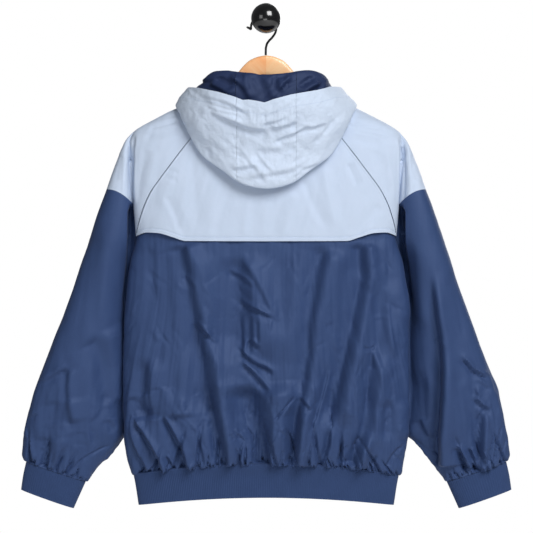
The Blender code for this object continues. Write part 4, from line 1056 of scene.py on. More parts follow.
def woven_shell(name, hex_colour, light_hex, crinkle, gloss=0.6, pitch=5.3):
    """Water-repellent nylon taffeta, woven from fine flat filaments and calendered, so it
    has a low soft gloss and holds sharp crinkles. The real threads are 0.2 mm apart; the
    weave is drawn at 1.1 mm so that it can show at all. Its crinkles are as high and as far
    apart as crinkle and pitch say, in millimetres."""
    material, tree, shader = new_material(
        name, Roughness=0.6, Specular_IOR_Level=gloss, Sheen_Weight=0.03, Sheen_Roughness=0.4,
        Specular_Tint=linear("#B0C4EC")
    )
    cloth = add(tree, "UVMap", uv_map="Cloth").outputs[0]
    threads = {"Vector": cloth, "Scale": 286, "Distortion": 0.6, "Detail": 1}
    warp = add(tree, "TexWave", threads, bands_direction="X").outputs["Fac"]
    weft = add(tree, "TexWave", threads, bands_direction="Y").outputs["Fac"]
    weave = add(tree, "Math", {0: warp, 1: weft}, operation="MULTIPLY").outputs[0]
    mottle = object_noise(tree, 42, Detail=5, Roughness=0.6)
    base_colour(tree, shader, linear(hex_colour), linear(light_hex), mottle)
    fine = object_noise(tree, 1 / (pitch * MM), Detail=3, Roughness=0.55, Distortion=0.4)
    crush = add(tree, "Bump", {"Height": fine, "Distance": crinkle * MM, "Strength": 0.7})
    add(tree, "Bump", {"Height": weave, "Distance": 0.05 * MM, "Strength": 0.5,
                       "Normal": crush.outputs[0]}, shader.inputs["Normal"])
    return material


def rib_knit(name, hex_colour, light_hex):
    """Fine rib knit of polyester yarn, steamed flat: dull, with soft upright ribs that the
    mesh has, and single stitches about 1.6 mm high drawn as bump."""
    material, tree, shader = new_material(
        name, Roughness=0.85, Specular_IOR_Level=0.15, Sheen_Weight=0.1, Sheen_Roughness=0.5
    )
    cloth = add(tree, "UVMap", uv_map="Cloth")
    stitches = add(tree, "TexWave", {"Vector": cloth.outputs[0], "Scale": 196, "Distortion": 1.4,
                                     "Detail": 1}, bands_direction="Y")
    base_colour(tree, shader, linear(hex_colour), linear(light_hex), object_noise(tree, 60, Detail=4))
    add(tree, "Bump", {"Height": stitches.outputs["Fac"], "Distance": 0.2 * MM, "Strength": 0.6},
        shader.inputs["Normal"])
    return material


def thread(name, hex_colour):
    """Polyester sewing thread, twisted from two yarns: a small soft gloss on each stitch."""
    material, tree, shader = new_material(name, Roughness=0.5, Sheen_Weight=0.2)
    colour = linear(hex_colour)
    base_colour(tree, shader, colour, [c * 0.8 for c in colour], object_noise(tree, 900))
    return material


def zip_cloth(name, hex_colour):
    """Woven polyester zip tape in a herringbone: dull and close."""
    material, tree, shader = new_material(name, Roughness=0.8, Sheen_Weight=0.2)
    cloth = add(tree, "TexCoord")
    twill = add(tree, "TexWave", {"Vector": cloth.outputs["Object"], "Scale": 250},
                bands_direction="DIAGONAL")
    colour = linear(hex_colour)
    base_colour(tree, shader, colour, [c * 1.5 for c in colour], twill.outputs["Fac"])
    add(tree, "Bump", {"Height": twill.outputs["Fac"], "Distance": 0.15 * MM}, shader.inputs["Normal"])
    return material


def moulded_coil(name, hex_colour):
    """Nylon monofilament coiled and heat-set: smooth, with a plastic gloss."""
    material, tree, shader = new_material(name, Roughness=0.34, IOR=1.53)
    colour = linear(hex_colour)
    base_colour(tree, shader, colour, [c * 1.3 for c in colour], object_noise(tree, 300))
    return material


def plated_metal(name, hex_colour):
    """Die-cast zinc with a dark tumbled plating: metallic, softly worn on its faces."""
    material, tree, shader = new_material(name, Metallic=1.0)
    wear = object_noise(tree, 400, Detail=4)
    base_colour(tree, shader, linear(hex_colour), linear("#6E7078"), wear)
    add(tree, "MapRange", {"Value": wear, "To Min": 0.24, "To Max": 0.42}, shader.inputs["Roughness"])
    return material


def varnished_beech(name, light_hex, dark_hex, turn, centre):
    """Steamed beech, planed and sprayed with clear varnish: pale orange with fine flecks
    and long faint grain along each arm, under a thin glossy coat."""
    material, tree, shader = new_material(
        name, Roughness=0.42, Specular_IOR_Level=0.5, Coat_Weight=0.35, Coat_Roughness=0.12
    )
    place_on = add(tree, "TexCoord")
    laid = add(tree, "Mapping", {"Vector": place_on.outputs["Object"], "Location": centre,
                                 "Rotation": (0, turn, 0)})
    stretched = add(tree, "Mapping", {"Vector": laid.outputs[0], "Scale": (0.08, 1, 1)})
    rings = add(tree, "TexNoise", {"Vector": stretched.outputs[0], "Scale": 210, "Detail": 4,
                                   "Roughness": 0.6, "Distortion": 0.5})
    broad = add(tree, "TexNoise", {"Vector": stretched.outputs[0], "Scale": 46, "Detail": 2})
    both = add(tree, "Mix", {2: rings.outputs["Fac"], 3: broad.outputs["Fac"], 0: 0.5},
               data_type="FLOAT")
    tone = add(tree, "ValToRGB", {"Fac": both.outputs[0]}, shader.inputs["Base Color"])
    tone.color_ramp.elements[0].position = 0.36
    tone.color_ramp.elements[0].color = linear(dark_hex)
    tone.color_ramp.elements[1].position = 0.66
    tone.color_ramp.elements[1].color = linear(light_hex)
    add(tree, "Bump", {"Height": rings.outputs["Fac"], "Distance": 0.06 * MM}, shader.inputs["Normal"])
    return material


def coated_wire(name, hex_colour):
    """Steel wire, powder-coated black: satin, with a faint orange-peel skin."""
    material, tree, shader = new_material(name, Roughness=0.3, Specular_IOR_Level=0.5)
    peel = object_noise(tree, 700)
    base_colour(tree, shader, linear(hex_colour), linear("#1A1A1C"), peel)
    add(tree, "Bump", {"Height": peel, "Distance": 0.04 * MM}, shader.inputs["Normal"])
    return material


def lacquered(name, hex_colour):
    """Turned wood under black high-gloss lacquer: deep black with sharp soft-box glints."""
    material, tree, shader = new_material(
        name, Roughness=0.2, Coat_Weight=0.9, Coat_Roughness=0.06
    )
    base_colour(tree, shader, linear(hex_colour), linear("#101012"), object_noise(tree, 30))
    return material


# ---------------------------------------------------------------- relief of each region


def body_scatter(seed, many, low_many):
    """Small creases all over the body, and shorter, deeper ones in its lower third."""
    return (
        scattered(seed, many, ((-238, 400), (238, 700)), (18, 60), (2.5, 5), (0.5, 1.4), 0.1, 0.6)
        + scattered(seed + 2, low_many, ((-236, 640), (236, 775)), (12, 40), (2, 4), (0.6, 1.8), 0.0, 0.5)
    )


BACK_SCATTER = body_scatter(3, 90, 120)
FRONT_SCATTER = body_scatter(13, 70, 90)
HEM_GATHER_REACH = 229.5
CUFF_SEAM = ((313.3, 800.8), (416.2, 766.5))
GATHER_LENGTHS = ((7, 13), (9, 20), (24, 46), (8, 20), (7, 13), (48, 105))
FAR_GATHER = 47


def gathers(seed, count, reach, root_at):
    """Gathers at a band: creases whose roots stand close together along a seam and that
    run up the cloth. Their lengths follow a cycle of six, whose last one runs far up,
    widens and is the deepest. root_at gives place and direction at -1 to 1."""
    rng = np.random.default_rng(seed)
    made = []
    edges = np.linspace(-reach, reach, count + 1)
    for k in range(count):
        (x, drop), lean = root_at(rng.uniform(edges[k], edges[k + 1]))
        length = rng.uniform(*GATHER_LENGTHS[k % len(GATHER_LENGTHS)])
        turn = lean + rng.normal(0, 0.16)
        top = (x + math.sin(turn) * length, drop - math.cos(turn) * length)
        middle = ((x + top[0]) / 2 + rng.normal(0, 1.2), (drop + top[1]) / 2)
        width = rng.uniform(1.3, 1.9)
        far = length > FAR_GATHER
        widths = (width * (1.3 if far else 0.7), width * (1 + 0.8 * far))
        depth = -rng.uniform(4.6, 6.8) - 1.6 * far
        made.append(Crease((top, middle, (x, drop + 2)), widths, depth, rng.uniform(-0.3, 0.3),
                           NICK_CRISP, (0.6, 0.02)))
    return made


def puffed(height_above):
    """How far gathered cloth stands out over its band at a height above the seam: it
    swells from the seam within a few millimetres and then sinks back slowly."""
    height = np.maximum(height_above, 0)
    return 3.0 * (1 - np.exp(-height / 2.2)) * np.exp(-((height / 20) ** 1.5))


def hem_root(side):
    """Where the hem's gathers stand: on the band's seam, leaning out at the corners."""

    def root(share):
        drop = BAND_TOP_SIDE_DROP - BAND_RISE[side] * (1 - share**2)
        return (share * HEM_GATHER_REACH, drop), -0.5 * share

    return root


def cuff_root(sign):
    """Where a cuff's gathers stand: on its slanting seam, running up the sleeve."""
    (inner_x, inner_drop), (outer_x, outer_drop) = CUFF_SEAM

    def root(share):
        t = (share + 1) / 2
        x = inner_x + (outer_x - inner_x) * t
        drop = inner_drop + (outer_drop - inner_drop) * t
        return (sign * x, drop), sign * (-0.32 + 0.1 * share)

    return root


BACK_GATHERS = gathers(21, 76, 0.99, hem_root("back"))
FRONT_GATHERS = gathers(22, 64, 0.99, hem_root("front"))
CUFF_GATHERS = {
    (sign, side): gathers(30 + 2 * k + sign, 18, 0.97, cuff_root(sign))
    for k, side in enumerate(("back", "front"))
    for sign in (-1, 1)
}


def cloth_waves(x, drop, seed):
    """Slow long waves, deeper towards the hem, patches of crushed cloth, and crisp streaks
    down the cloth, which are valleys where a stretched noise passes through 0."""
    low = fade(drop, 430, 720)
    waves = (1.6 + 2.6 * low) * noise(x / 36, drop / 170, seed)
    waves = waves + (0.5 + 1.2 * low) * noise(x / 17, drop / 80, seed + 1)
    patches = fade(noise(x / 55, drop / 70, seed + 2), -0.15, 0.35) * (0.45 + 0.75 * low)
    crushed = 1.9 * facets(x, drop, 17, 2.4, 0.2, seed + 3) + 0.8 * facets(x, drop, 8, 2.0, -0.4, seed + 4)
    lean = x * (1 - 0.16 * low)
    streaks = (2.0 * np.abs(noise(lean / 13 + 0.15 * waves, drop / 190, seed + 5))
               + 1.1 * np.abs(noise(lean / 6.5, drop / 120, seed + 6)))
    return waves + patches * crushed + (0.45 + 0.75 * low) * streaks


def light_waves(x, drop, seed):
    """The flatter waves of the yokes and shoulders, faint slanting streaks, and patches of
    lightly crushed cloth."""
    waves = 1.1 * noise(x / 38, drop / 90, seed) + 0.3 * noise(x / 14, drop / 40, seed + 1)
    patches = fade(noise(x / 45, drop / 50, seed + 2), 0.0, 0.4)
    streaks = 0.6 * np.abs(noise(x / 15 + drop / 60, drop / 66, seed + 5))
    return 0.75 * waves + streaks + patches * (0.5 * facets(x, drop, 14, 1.8, 0.5, seed + 3)
                                               + 0.2 * facets(x, drop, 6, 1.6, -0.3, seed + 4))


def back_relief(x, drop, region):
    """Relief of the jacket's back in one region of it: its own creases and the waves of its
    cloth. The left sleeve is the smoother one, and both are smoother above the elbow."""
    if region == "body":
        return (creased(x, drop, BACK_CREASES) + creased(x, drop, BACK_SCATTER)
                + creased(x, drop, BACK_GATHERS) + cloth_waves(x, drop, 41))
    if region == "upper":
        return creased(x, drop, YOKE_CREASES) + light_waves(x, drop, 51)
    sign = 1 if region == "right" else -1
    own, strength = (RIGHT_SLEEVE_CREASES, 1.1) if sign > 0 else (LEFT_SLEEVE_CREASES, 0.65)
    return (strength * creased(x, drop, own) + creased(x, drop, CUFF_GATHERS[sign, "back"])
            + cloth_waves(x, drop, 61 + sign) * (0.25 + 0.6 * fade(drop, 540, 700)))


def front_relief(x, drop, region):
    """Relief of the jacket's front in one region of it."""
    base = creased(x, drop, FRONT_CREASES)
    if region == "body":
        return (base + creased(x, drop, FRONT_SCATTER) + creased(x, drop, FRONT_GATHERS)
                + cloth_waves(x, drop, 71))
    if region == "upper":
        return base + light_waves(x, drop, 81)
    sign = 1 if region == "right" else -1
    return base + creased(x, drop, CUFF_GATHERS[sign, "front"]) + cloth_waves(x, drop, 91 + sign)


def gathered_in(grid, relief):
    """Relief of a cloth whose last row is sewn to a band: lifted over it, and sunk at most
    half a millimetre behind the band's face at the seam, with no limit 6 mm above it."""
    height = steps_along(grid[::-1], 0)[::-1]
    lifted = relief + puffed(height)
    return np.maximum(lifted, -0.5 - 60 * fade(height, 1.0, 6))


def relief_on(grid, around, region):
    """Relief on a grid: the back's where it faces back, the front's where it faces the
    wall, and a blend of the two round the sides."""
    normals = calmed(grid_normals(grid, around), RELIEF_CALM, around)
    share = fade(-normals[..., 1], -0.35, 0.35)
    x, drop = grid[..., 0], -grid[..., 2]
    relief = np.zeros(x.shape)
    if share.max() > 0:
        relief += share * back_relief(x, drop, region)
    if share.min() < 1:
        relief += (1 - share) * front_relief(x, drop, region)
    return relief


# ---------------------------------------------------------------- grids of the pieces


def down(rows):
    """Row shares from 0 to 1 as a column."""
    return np.linspace(0, 1, rows + 1)[:, None]


def raglan_seam(share, side, offset):
    """The raglan seam beside a piece: its x, its drop, and the share of its fall passed."""
    drop = along(share, SHOULDER[side + "_drop"])
    fallen = (drop - drop[0]) / (drop[-1] - drop[0])
    return along(share, SHOULDER[side + "_x"]) + offset, drop, fallen


def back_yoke_grid(rows=110, cells=200):
    """Back yoke between the raglan seams, from the neck to the free edge of the flap. The
    flap stands off the body by a steep power of the way down, and more near its two ends,
    where its edge curves up."""
    share = down(rows)
    seam_x, seam_drop, fallen = raglan_seam(share, "back", -SEAM_GAP / 2)
    across = np.sin(np.linspace(1, -1, cells + 1) * math.pi / 2)[None, :]
    x = seam_x * across
    neck = (BACK_NECK_DROP - SHOULDER["back_drop"][0]) * (1 - across**2)
    flap = smooth(np.abs(across) * ARMPIT_SIDE, FLAP["x"], FLAP["drop"]) - FLAP["drop"][-1]
    drop = seam_drop + (1 - fallen) * neck + fallen * flap
    lift = FLAP_LIFT * fallen**FLAP_LIFT_POWER * (1 - across**4)
    lift = lift + 3.2 * fallen**9 * np.exp(-(((np.abs(across) - 0.78) / 0.13) ** 2))
    return garment_points(x, drop, "back", extra=lift)


def band_edges(shares, side):
    """Drops of the hem band's upper and lower edge at shares of the half width."""
    bow = 1 - shares**2
    top = BAND_TOP_SIDE_DROP - BAND_RISE[side] * bow
    bottom = BAND_BOTTOM_SIDE_DROP - BAND_BOTTOM_RISE[side] * bow
    return top, bottom


def body_grid(shares, top, side, rows, relief):
    """Body cloth at shares of the half width, from a top edge down to the hem band."""
    bottom = band_edges(shares, side)[0] - SEAM_GAP
    drop = top + (1 - (1 - down(rows)) ** 1.3) * (bottom - top)
    tucked = TUCK_INSET * fade(drop, TUCK_FADE_BOTTOM, TUCK_FADE_TOP)
    x = shares * (body_at(drop, "half_width") - tucked)
    inset = tucked if side == "back" else 0.0
    extra = fold_relief(x, drop) * superellipse(shares, 4) * 0.5 if relief else 0.0
    return garment_points(x, drop, side, inset=inset, extra=extra)


def back_body_grid(rows=210, cells=340):
    """Back of the body, from under the yoke flap to the hem band."""
    shares = -even_shares(cells, 0.22, 3.0)[None, :]
    side = np.abs(shares) * ARMPIT_SIDE
    flap = smooth(side, FLAP["x"], FLAP["drop"]) + 2 * SEAM_GAP
    top = flap - TUCK_HEIGHT * fade(side, TUCK_SIDE, TUCK_SIDE - TUCK_FADE)
    return body_grid(shares, top, "back", rows, relief=True)


def front_body_grid(rows=124, cells=80):
    """Left front of the body, from the straight yoke seam to the hem band."""
    shares = even_shares(2 * cells, 0.18, 3.0)[: cells + 1]
    shares = (-1 + (shares + 1) * (1 - ZIP_EDGE / ARMPIT_SIDE))[None, :]
    top = np.full_like(shares, ARMPIT_DROP + 2 * SEAM_GAP)
    grid = body_grid(shares, top, "front", rows, relief=False)
    grid[:, -1, 0] = -ZIP_EDGE
    return grid


def front_neck_bow(across):
    """How far the front neckline hangs below a straight line, as a share of its fall."""
    return 1 - across**2.4


def front_yoke_grid(rows=64, cells=60):
    """Left front yoke between raglan seam and zip, from the neckline to the seam."""
    share = down(rows)
    seam_x, seam_drop, fallen = raglan_seam(share, "front", -SEAM_GAP / 2)
    across = np.sin(np.linspace(1, 0, cells + 1) * math.pi / 2)[None, :]
    x = -(ZIP_EDGE + (seam_x - ZIP_EDGE) * across)
    neck = (FRONT_NECK_DROP - SHOULDER["front_drop"][0]) * front_neck_bow(across)
    return garment_points(x, seam_drop + (1 - fallen) * neck, "front")


def ring_angles(fold_cells, half_cells):
    """Angles round a sleeve from the inner side over the back to the outer edge."""
    inner = np.linspace(0, FOLD_ANGLE, fold_cells + 1)
    outer = np.linspace(FOLD_ANGLE, math.pi, half_cells - fold_cells + 1)
    return np.concatenate([inner, outer[1:]])


def shoulder_half(side, rows, fold_cells, half_cells):
    """One side of the left raglan shoulder, from its seam to the outer edge."""
    share = down(rows)
    seam_x, seam_drop, _ = raglan_seam(share, side, SEAM_GAP / 2)
    fold_x = along(share, SHOULDER["fold_x"])
    fold_drop = along(share, SHOULDER["fold_drop"])
    edge_drop = along(share, SHOULDER["edge_drop"])
    edge_x = outline_at(edge_drop)
    angles = ring_angles(fold_cells, half_cells)
    to_fold = (angles[: fold_cells + 1] / FOLD_ANGLE)[None, :]
    spread = to_fold ** (1 - 0.5 * (1 - share))
    inner_x = seam_x + (fold_x - seam_x) * spread
    inner_drop = seam_drop + (fold_drop - seam_drop) * spread
    turned = math.pi * (angles[fold_cells:] - FOLD_ANGLE) / (math.pi - FOLD_ANGLE)
    to_edge = ((1 - np.cos(turned)) / 2)[None, 1:]
    outer_x = fold_x + (edge_x - fold_x) * to_edge
    bow = SLEEVE["bow"][0] * share**4 * 4 * to_edge * (1 - to_edge)
    outer_drop = fold_drop + (edge_drop - fold_drop) * to_edge - bow
    x = np.concatenate([inner_x, outer_x], axis=1)
    drop = np.concatenate([inner_drop, outer_drop], axis=1)
    x[-1, : fold_cells + 1] = body_at(drop[-1, : fold_cells + 1], "half_width")
    return garment_points(-x, drop, side)


def shoulder_grid(rows=100, fold_cells=28, half_cells=70):
    """Left raglan shoulder: one piece from the back seam over the top to the front."""
    back = shoulder_half("back", rows, fold_cells, half_cells)
    front = shoulder_half("front", rows, fold_cells, half_cells)
    return np.concatenate([back, front[:, ::-1][:, 1:]], axis=1)


def sleeve_half(side, rows, sign, angles):
    """One side of the left lower sleeve from the colour line to the cuff seam: half a
    superellipse round the sleeve's own middle, which starts on the shoulder's cloth. On the
    back, what lies inside the hollow's line goes back to the sleeve's middle plane, so that
    the body's side stands clear of it, and next to the armpit it also moves inwards."""
    armpit_row = 2 / (len(SLEEVE["bow"]) - 1)
    angle = angles[None, :]
    start = armpit_row * np.clip(1 - angle / FOLD_ANGLE, 0, 1)
    share = start + down(rows) ** 1.15 * (1 - start)
    skipped = FOLD_ANGLE * np.clip(1 - share / armpit_row, 0, 1)
    turned = math.pi * np.clip(angle - skipped, 0, None) / (math.pi - skipped)
    across = (1 - np.cos(turned)) / 2
    column = {name: along(share, values) for name, values in SLEEVE.items()}
    x = column["inner_x"] + (column["outer_x"] - column["inner_x"]) * across
    drop = column["inner_drop"] + (column["outer_drop"] - column["inner_drop"]) * across
    drop = drop - column["bow"] * 4 * across * (1 - across)
    own_share = 1.0 if side == "back" else FRONT_SLEEVE_SHARE
    tucked = np.where(turned < math.pi / 2, column["tuck"] / SLEEVE["tuck"].max(), 0)
    power = 2 / SLEEVE_SQUARENESS + TUCKED_POINT * tucked
    own = column["half_depth"] * own_share * np.clip(np.sin(turned), 0, 1) ** power
    tuck = column["tuck"] * ((1 + np.cos(turned)) / 2) ** 3
    own_y = column["middle"] + sign * own + tuck
    held_y = garment_points(x, np.minimum(drop, ARMPIT_DROP), side)[..., 1]
    y = held_y + (own_y - held_y) * fade(share, 0, armpit_row)
    behind = fade(x, 238, 230) * fade(drop, 350, 366) * fade(drop, 430, 395)
    hollow_x = smooth(drop, SLEEVE_HOLLOW["drop"], SLEEVE_HOLLOW["x"])
    edge = np.maximum(hollow_x, column["inner_x"] + 2.2)
    hollow = fade(x, edge + 1.2, edge - 1.2) * fade(drop, 318, 332) * fade(drop, 708, 690)
    if side == "front":
        hollow = 0 * hollow
    y = y + (column["middle"] + 6 - y) * np.maximum(hollow, 0.4 * behind)
    x = x - 6 * behind
    return np.stack([-x, y, -drop], axis=-1)


def sleeve_grid(rows=190, fold_cells=14, half_cells=88):
    """Left lower sleeve: a tube whose top edge follows the colour line and the fold."""
    angles = ring_angles(fold_cells, half_cells)
    back = sleeve_half("back", rows, -1, angles)
    front = sleeve_half("front", rows, 1, angles)
    return np.concatenate([back, front[:, ::-1][:, 1:-1]], axis=1)


def cuff_grid(rows, cells):
    """Left cuff: a flat tube that narrows a little to the hand."""
    share = down(rows)
    angle = np.linspace(0, 2 * math.pi, cells + 1)[None, :-1]
    across = (1 - np.cos(angle)) / 2
    column = {name: along(share, values) for name, values in CUFF.items()}
    x = column["inner_x"] + (column["outer_x"] - column["inner_x"]) * across
    drop = column["inner_drop"] + (column["outer_drop"] - column["inner_drop"]) * across
    depth = signed_power(np.sin(angle), 2 / SLEEVE_SQUARENESS)
    y = column["middle"] - column["half_depth"] * depth
    return np.stack([-x, y, -drop], axis=-1)


def band_grid(rows, cells):
    """Hem band from the zip's left side round the back to its right side."""
    half = body_at(BAND_TOP_SIDE_DROP, "half_width")
    quarter_cells = cells // 4
    back = even_shares(2 * quarter_cells, 0.13, 2.8)
    quarter = even_shares(2 * quarter_cells, 0.10, 2.8)[: quarter_cells + 1]
    front = -1 + (quarter + 1) * (1 - ZIP_EDGE / half)
    parts = []
    for side, shares in (("front", front[::-1]), ("back", back), ("front", -front)):
        across = shares[None, :]
        top, bottom = band_edges(across, side)
        share = down(rows) * 1.06 - 0.06
        drop = top + share * (bottom - top)
        hidden = 1.6 * fade(share, 0.005, -0.03)
        parts.append(garment_points(across * (body_at(drop, "half_width") - hidden), drop, side,
                                    extra=-hidden))
    parts[1] = parts[1][:, 1:-1]
    grid = np.concatenate(parts, axis=1)
    grid[:, 0, 0] = -ZIP_EDGE
    grid[:, -1, 0] = ZIP_EDGE
    return grid[:, ::-1]


def hood_drop(angle, ring):
    """Drop of a ring at angles from the centre back, through its five named places."""
    places = np.radians([-45.0, 0.0, 45.0, 90.0, 135.0, 180.0, 225.0])
    names = ("drop_back", "drop_back_side", "drop_side", "drop_front_side", "drop_front")
    values = [ring[name] for name in names]
    both_ways = np.array([values[1], *values, values[3]])
    return smooth(np.abs(angle), places, both_ways)


def neckline_points(angles):
    """The garment's neck edge at angles from the centre back, raised a little."""
    x = SHOULDER_NECK_SIDE * np.abs(np.sin(angles))
    back_side, back_drop = SHOULDER["back_x"][0], SHOULDER["back_drop"][0]
    front_side, front_drop = SHOULDER["front_x"][0], SHOULDER["front_drop"][0]
    back_fall = (BACK_NECK_DROP - back_drop) * (1 - (x / back_side) ** 2)
    front_fall = (FRONT_NECK_DROP - front_drop) * front_neck_bow(np.minimum(x / front_side, 1))
    back = np.where(
        x < back_side,
        back_drop + back_fall,
        np.interp(x, (back_side, SHOULDER_NECK_SIDE), (back_drop, SHOULDER_NECK_DROP)),
    )
    front = np.where(
        x < front_side,
        front_drop + front_fall,
        np.interp(x, (front_side, SHOULDER_NECK_SIDE), (front_drop, SHOULDER_NECK_DROP)),
    )
    behind = np.abs(angles) < math.pi / 2
    signed_x = np.sign(angles) * x
    on_back = garment_points(signed_x, back, "back")
    on_front = garment_points(signed_x, front, "front")
    points = np.where(behind[..., None], on_back, on_front)
    return points + np.array([0, 0, HOOD_LIFT])


def hood_points(shares, angles):
    """Hood cloth at shares of the way from neck seam to face edge and angles round the
    neck: each ring is half an ellipse behind the neck and half an ellipse before it, and
    cubic curves join the rings."""
    knots = HOOD_RINGS["along"]
    count = len(knots)
    angles = np.broadcast_to(angles, (len(shares), angles.shape[-1]))
    ring_values = []
    for i in range(count):
        ring = {name: column[i] for name, column in HOOD_RINGS.items()}
        depth = np.where(np.abs(angles) < math.pi / 2, ring["back"], ring["front"])
        x = ring["half_width"] * np.sin(angles)
        y = HOOD_CENTRE_Y - depth * np.cos(angles)
        ring_values.append(np.stack([x, y, -hood_drop(angles, ring)], axis=-1))
    ring_values[0] = neckline_points(angles)
    stack = np.stack(ring_values)
    low = np.clip(np.searchsorted(knots, shares, side="right") - 1, 0, count - 2)
    t = ((shares - knots[low]) / (knots[low + 1] - knots[low]))[:, None, None]
    step = (knots[low + 1] - knots[low])[:, None, None]
    slopes = np.gradient(stack, knots, axis=0)
    row = np.arange(len(shares))
    first, second = stack[low, row], stack[low + 1, row]
    slope_1, slope_2 = slopes[low, row] * step, slopes[low + 1, row] * step
    return hermite(first, second, slope_1, slope_2, t)


def rest_on_jacket(points, gap):
    """Moves points that would lie in the jacket out to a gap from its surface."""
    x, drop = points[..., 0], -points[..., 2]
    on_body = (drop > SHOULDER_NECK_DROP) & (np.abs(x) < outline_at(drop))
    middle = body_at(drop, "middle")
    behind = middle - garment_depth(x, drop, "back") - gap
    before = middle + garment_depth(x, drop, "front") + gap
    y = points[..., 1]
    y = np.where(on_body & (y < middle) & (y > behind), behind, y)
    y = np.where(on_body & (y >= middle) & (y < before), before, y)
    return np.stack([x, y, -drop], axis=-1)


def pressed(points):
    """Points of the hood's lower part moved nearer to the back they hang on."""
    x, drop = points[..., 0], -points[..., 2]
    behind = body_at(drop, "middle") - garment_depth(x, drop, "back")
    share = HOOD_PRESSED * fade(drop, 140, 240) * (points[..., 1] < behind)
    y = points[..., 1] + share * (behind - points[..., 1])
    return np.stack([x, y, -drop], axis=-1)


def hood_grids(rows=256, strip_cells=60, side_cells=136):
    """The thrown-back hood's grids: centre strip, right side and left side. Their last rows
    take the face edge's own drops, the lowest part sags, and the two upper corners are
    drawn in, before all of it is laid on the jacket and pressed to it."""
    shares = np.linspace(0, 1, rows + 1)
    half_width = smooth(shares, HOOD_RINGS["along"], HOOD_RINGS["half_width"])
    strip = np.arcsin((HOOD_STRIP_HALF - HOOD_SEAM_GAP / 2) / half_width)[:, None]
    beside = np.arcsin((HOOD_STRIP_HALF + HOOD_SEAM_GAP / 2) / half_width)[:, None]
    centre_angles = strip * np.linspace(-1, 1, strip_cells + 1)[None, :]
    reach = np.linspace(0, 1, side_cells + 1)[None, :]
    side_angles = beside + (math.radians(HOOD_FRONT_ANGLE) - beside) * reach
    grids = {
        "centre": hood_points(shares, centre_angles),
        "right": hood_points(shares, side_angles),
    }
    grids["left"] = mirrored(grids["right"])
    for grid in grids.values():
        near_edge = fade(shares, 0.84, 1.0)[:, None]
        wanted = np.interp(grid[-1, :, 0], FACE_EDGE["x"], FACE_EDGE["drop"])
        behind = fade(-grid[-1, :, 1], -HOOD_CENTRE_Y - 30, -HOOD_CENTRE_Y + 10)
        grid[..., 2] -= near_edge * behind * (wanted + grid[-1, :, 2])
        low = fade(-grid[..., 2], 225, 285) * fade(np.abs(grid[..., 0]), 84, 44)
        grid[..., 2] -= HOOD_SAG * low
        corner = fade(-grid[..., 2], 156, 122) * fade(np.abs(grid[..., 0]), 92, 132)
        inwards = np.where(grid[..., 0] > 0, HOOD_CORNER_IN["right"], -HOOD_CORNER_IN["left"])
        grid[..., 0] -= inwards * corner
    return {name: pressed(rest_on_jacket(grid, HOOD_CLEARANCE)) for name, grid in grids.items()}


def hood_relief(grid):
    """Relief of the hood: the creases of its outer layer as seen from behind, crushed cloth
    in three sizes on it and in two on the roll at the neck, puckers along the two seams of
    the centre strip, which lie in a fine groove, and the gathered casing."""
    share = down(grid.shape[0] - 1)
    x, drop = grid[..., 0], -grid[..., 2]
    outer = fade(share, 0.6, 0.68)
    roll = fade(share, 0.03, 0.1) * fade(share, 0.5, 0.3)
    edge = fade(share, 1.0, 0.97)
    relief = HOOD_CREASE_SHARE * outer * creased(x, drop, HOOD_CREASES)
    calm_rim = 0.35 + 0.65 * fade(share, 0.62, 0.72)
    relief = relief + outer * calm_rim * edge * (
        1.5 * facets(x, drop, 24, 1.4, 0.5, 101) + 1.0 * facets(x, drop, 12, 1.5, -0.6, 102)
        + 0.55 * facets(x, drop, 6, 1.4, 0.2, 103)
    )
    relief = relief + roll * (
        1.6 * facets(x, share * 420, 22, 1.6, 1.2, 104)
        + 0.7 * facets(x, share * 420, 10, 1.5, 0.3, 105)
    )
    seam = np.abs(np.abs(x) - HOOD_STRIP_HALF)
    pucker = noise(share * 62 + np.sign(x) * 7, 0.1 * seam, 106)
    puckers = (outer + roll) * edge * 1.3 * pucker * fade(seam, 16, 1)
    casing = fade(share, 0.86, 0.9) * fade(share, 0.96, 0.93)
    gathered = casing * 1.1 * noise(x / 4.2, drop / 26, 107) * fade(np.abs(x - 14), 60, 20)
    return relief - 0.5 * np.exp(-((seam / 1.2) ** 2)) + puckers + gathered


LINING_CREASES = placed(
    (((-62, 100), (-40, 118), (-22, 146)), (5, 6), 4, 0.3, 1.5),
    (((-20, 98), (-8, 118), (-2, 142)), (5, 6), -4, 0.2, 1.5),
    (((44, 100), (26, 118), (6, 144)), (5, 6), 4, -0.3, 1.5),
    (((16, 100), (14, 116), (22, 134)), (4, 5), -3, 0.0, 1.5),
    (((-96, 112), (-76, 122), (-56, 138)), (5, 6), 3.5, 0.3, 1.5),
    (((-84, 104), (-70, 112), (-58, 124)), (4, 5), -3, 0.0, 1.5),
    (((92, 112), (76, 120), (58, 134)), (5, 6), 3.5, -0.3, 1.5),
    (((80, 102), (68, 112), (56, 122)), (4, 5), -3, 0.0, 1.5),
    (((-36, 96), (-34, 112), (-30, 128)), 4, 2.5, 0.0, 1.5),
    (((30, 98), (30, 112), (36, 124)), 4, -2.5, 0.0, 1.5),
)


def lowest_near(relief, cells):
    """The lowest relief within a number of cells, and none above 0, evened out."""
    low = np.minimum(relief, 0)
    for _ in range(cells):
        wide = np.pad(low, 1, mode="edge")
        low = np.minimum.reduce([wide[1:-1, :-2], wide[1:-1, 2:], wide[:-2, 1:-1], wide[2:, 1:-1], low])
    for _ in range(cells):
        wide = np.pad(low, 1, mode="edge")
        low = (wide[1:-1, :-2] + wide[1:-1, 2:] + wide[:-2, 1:-1] + wide[2:, 1:-1]) / 4
    return low


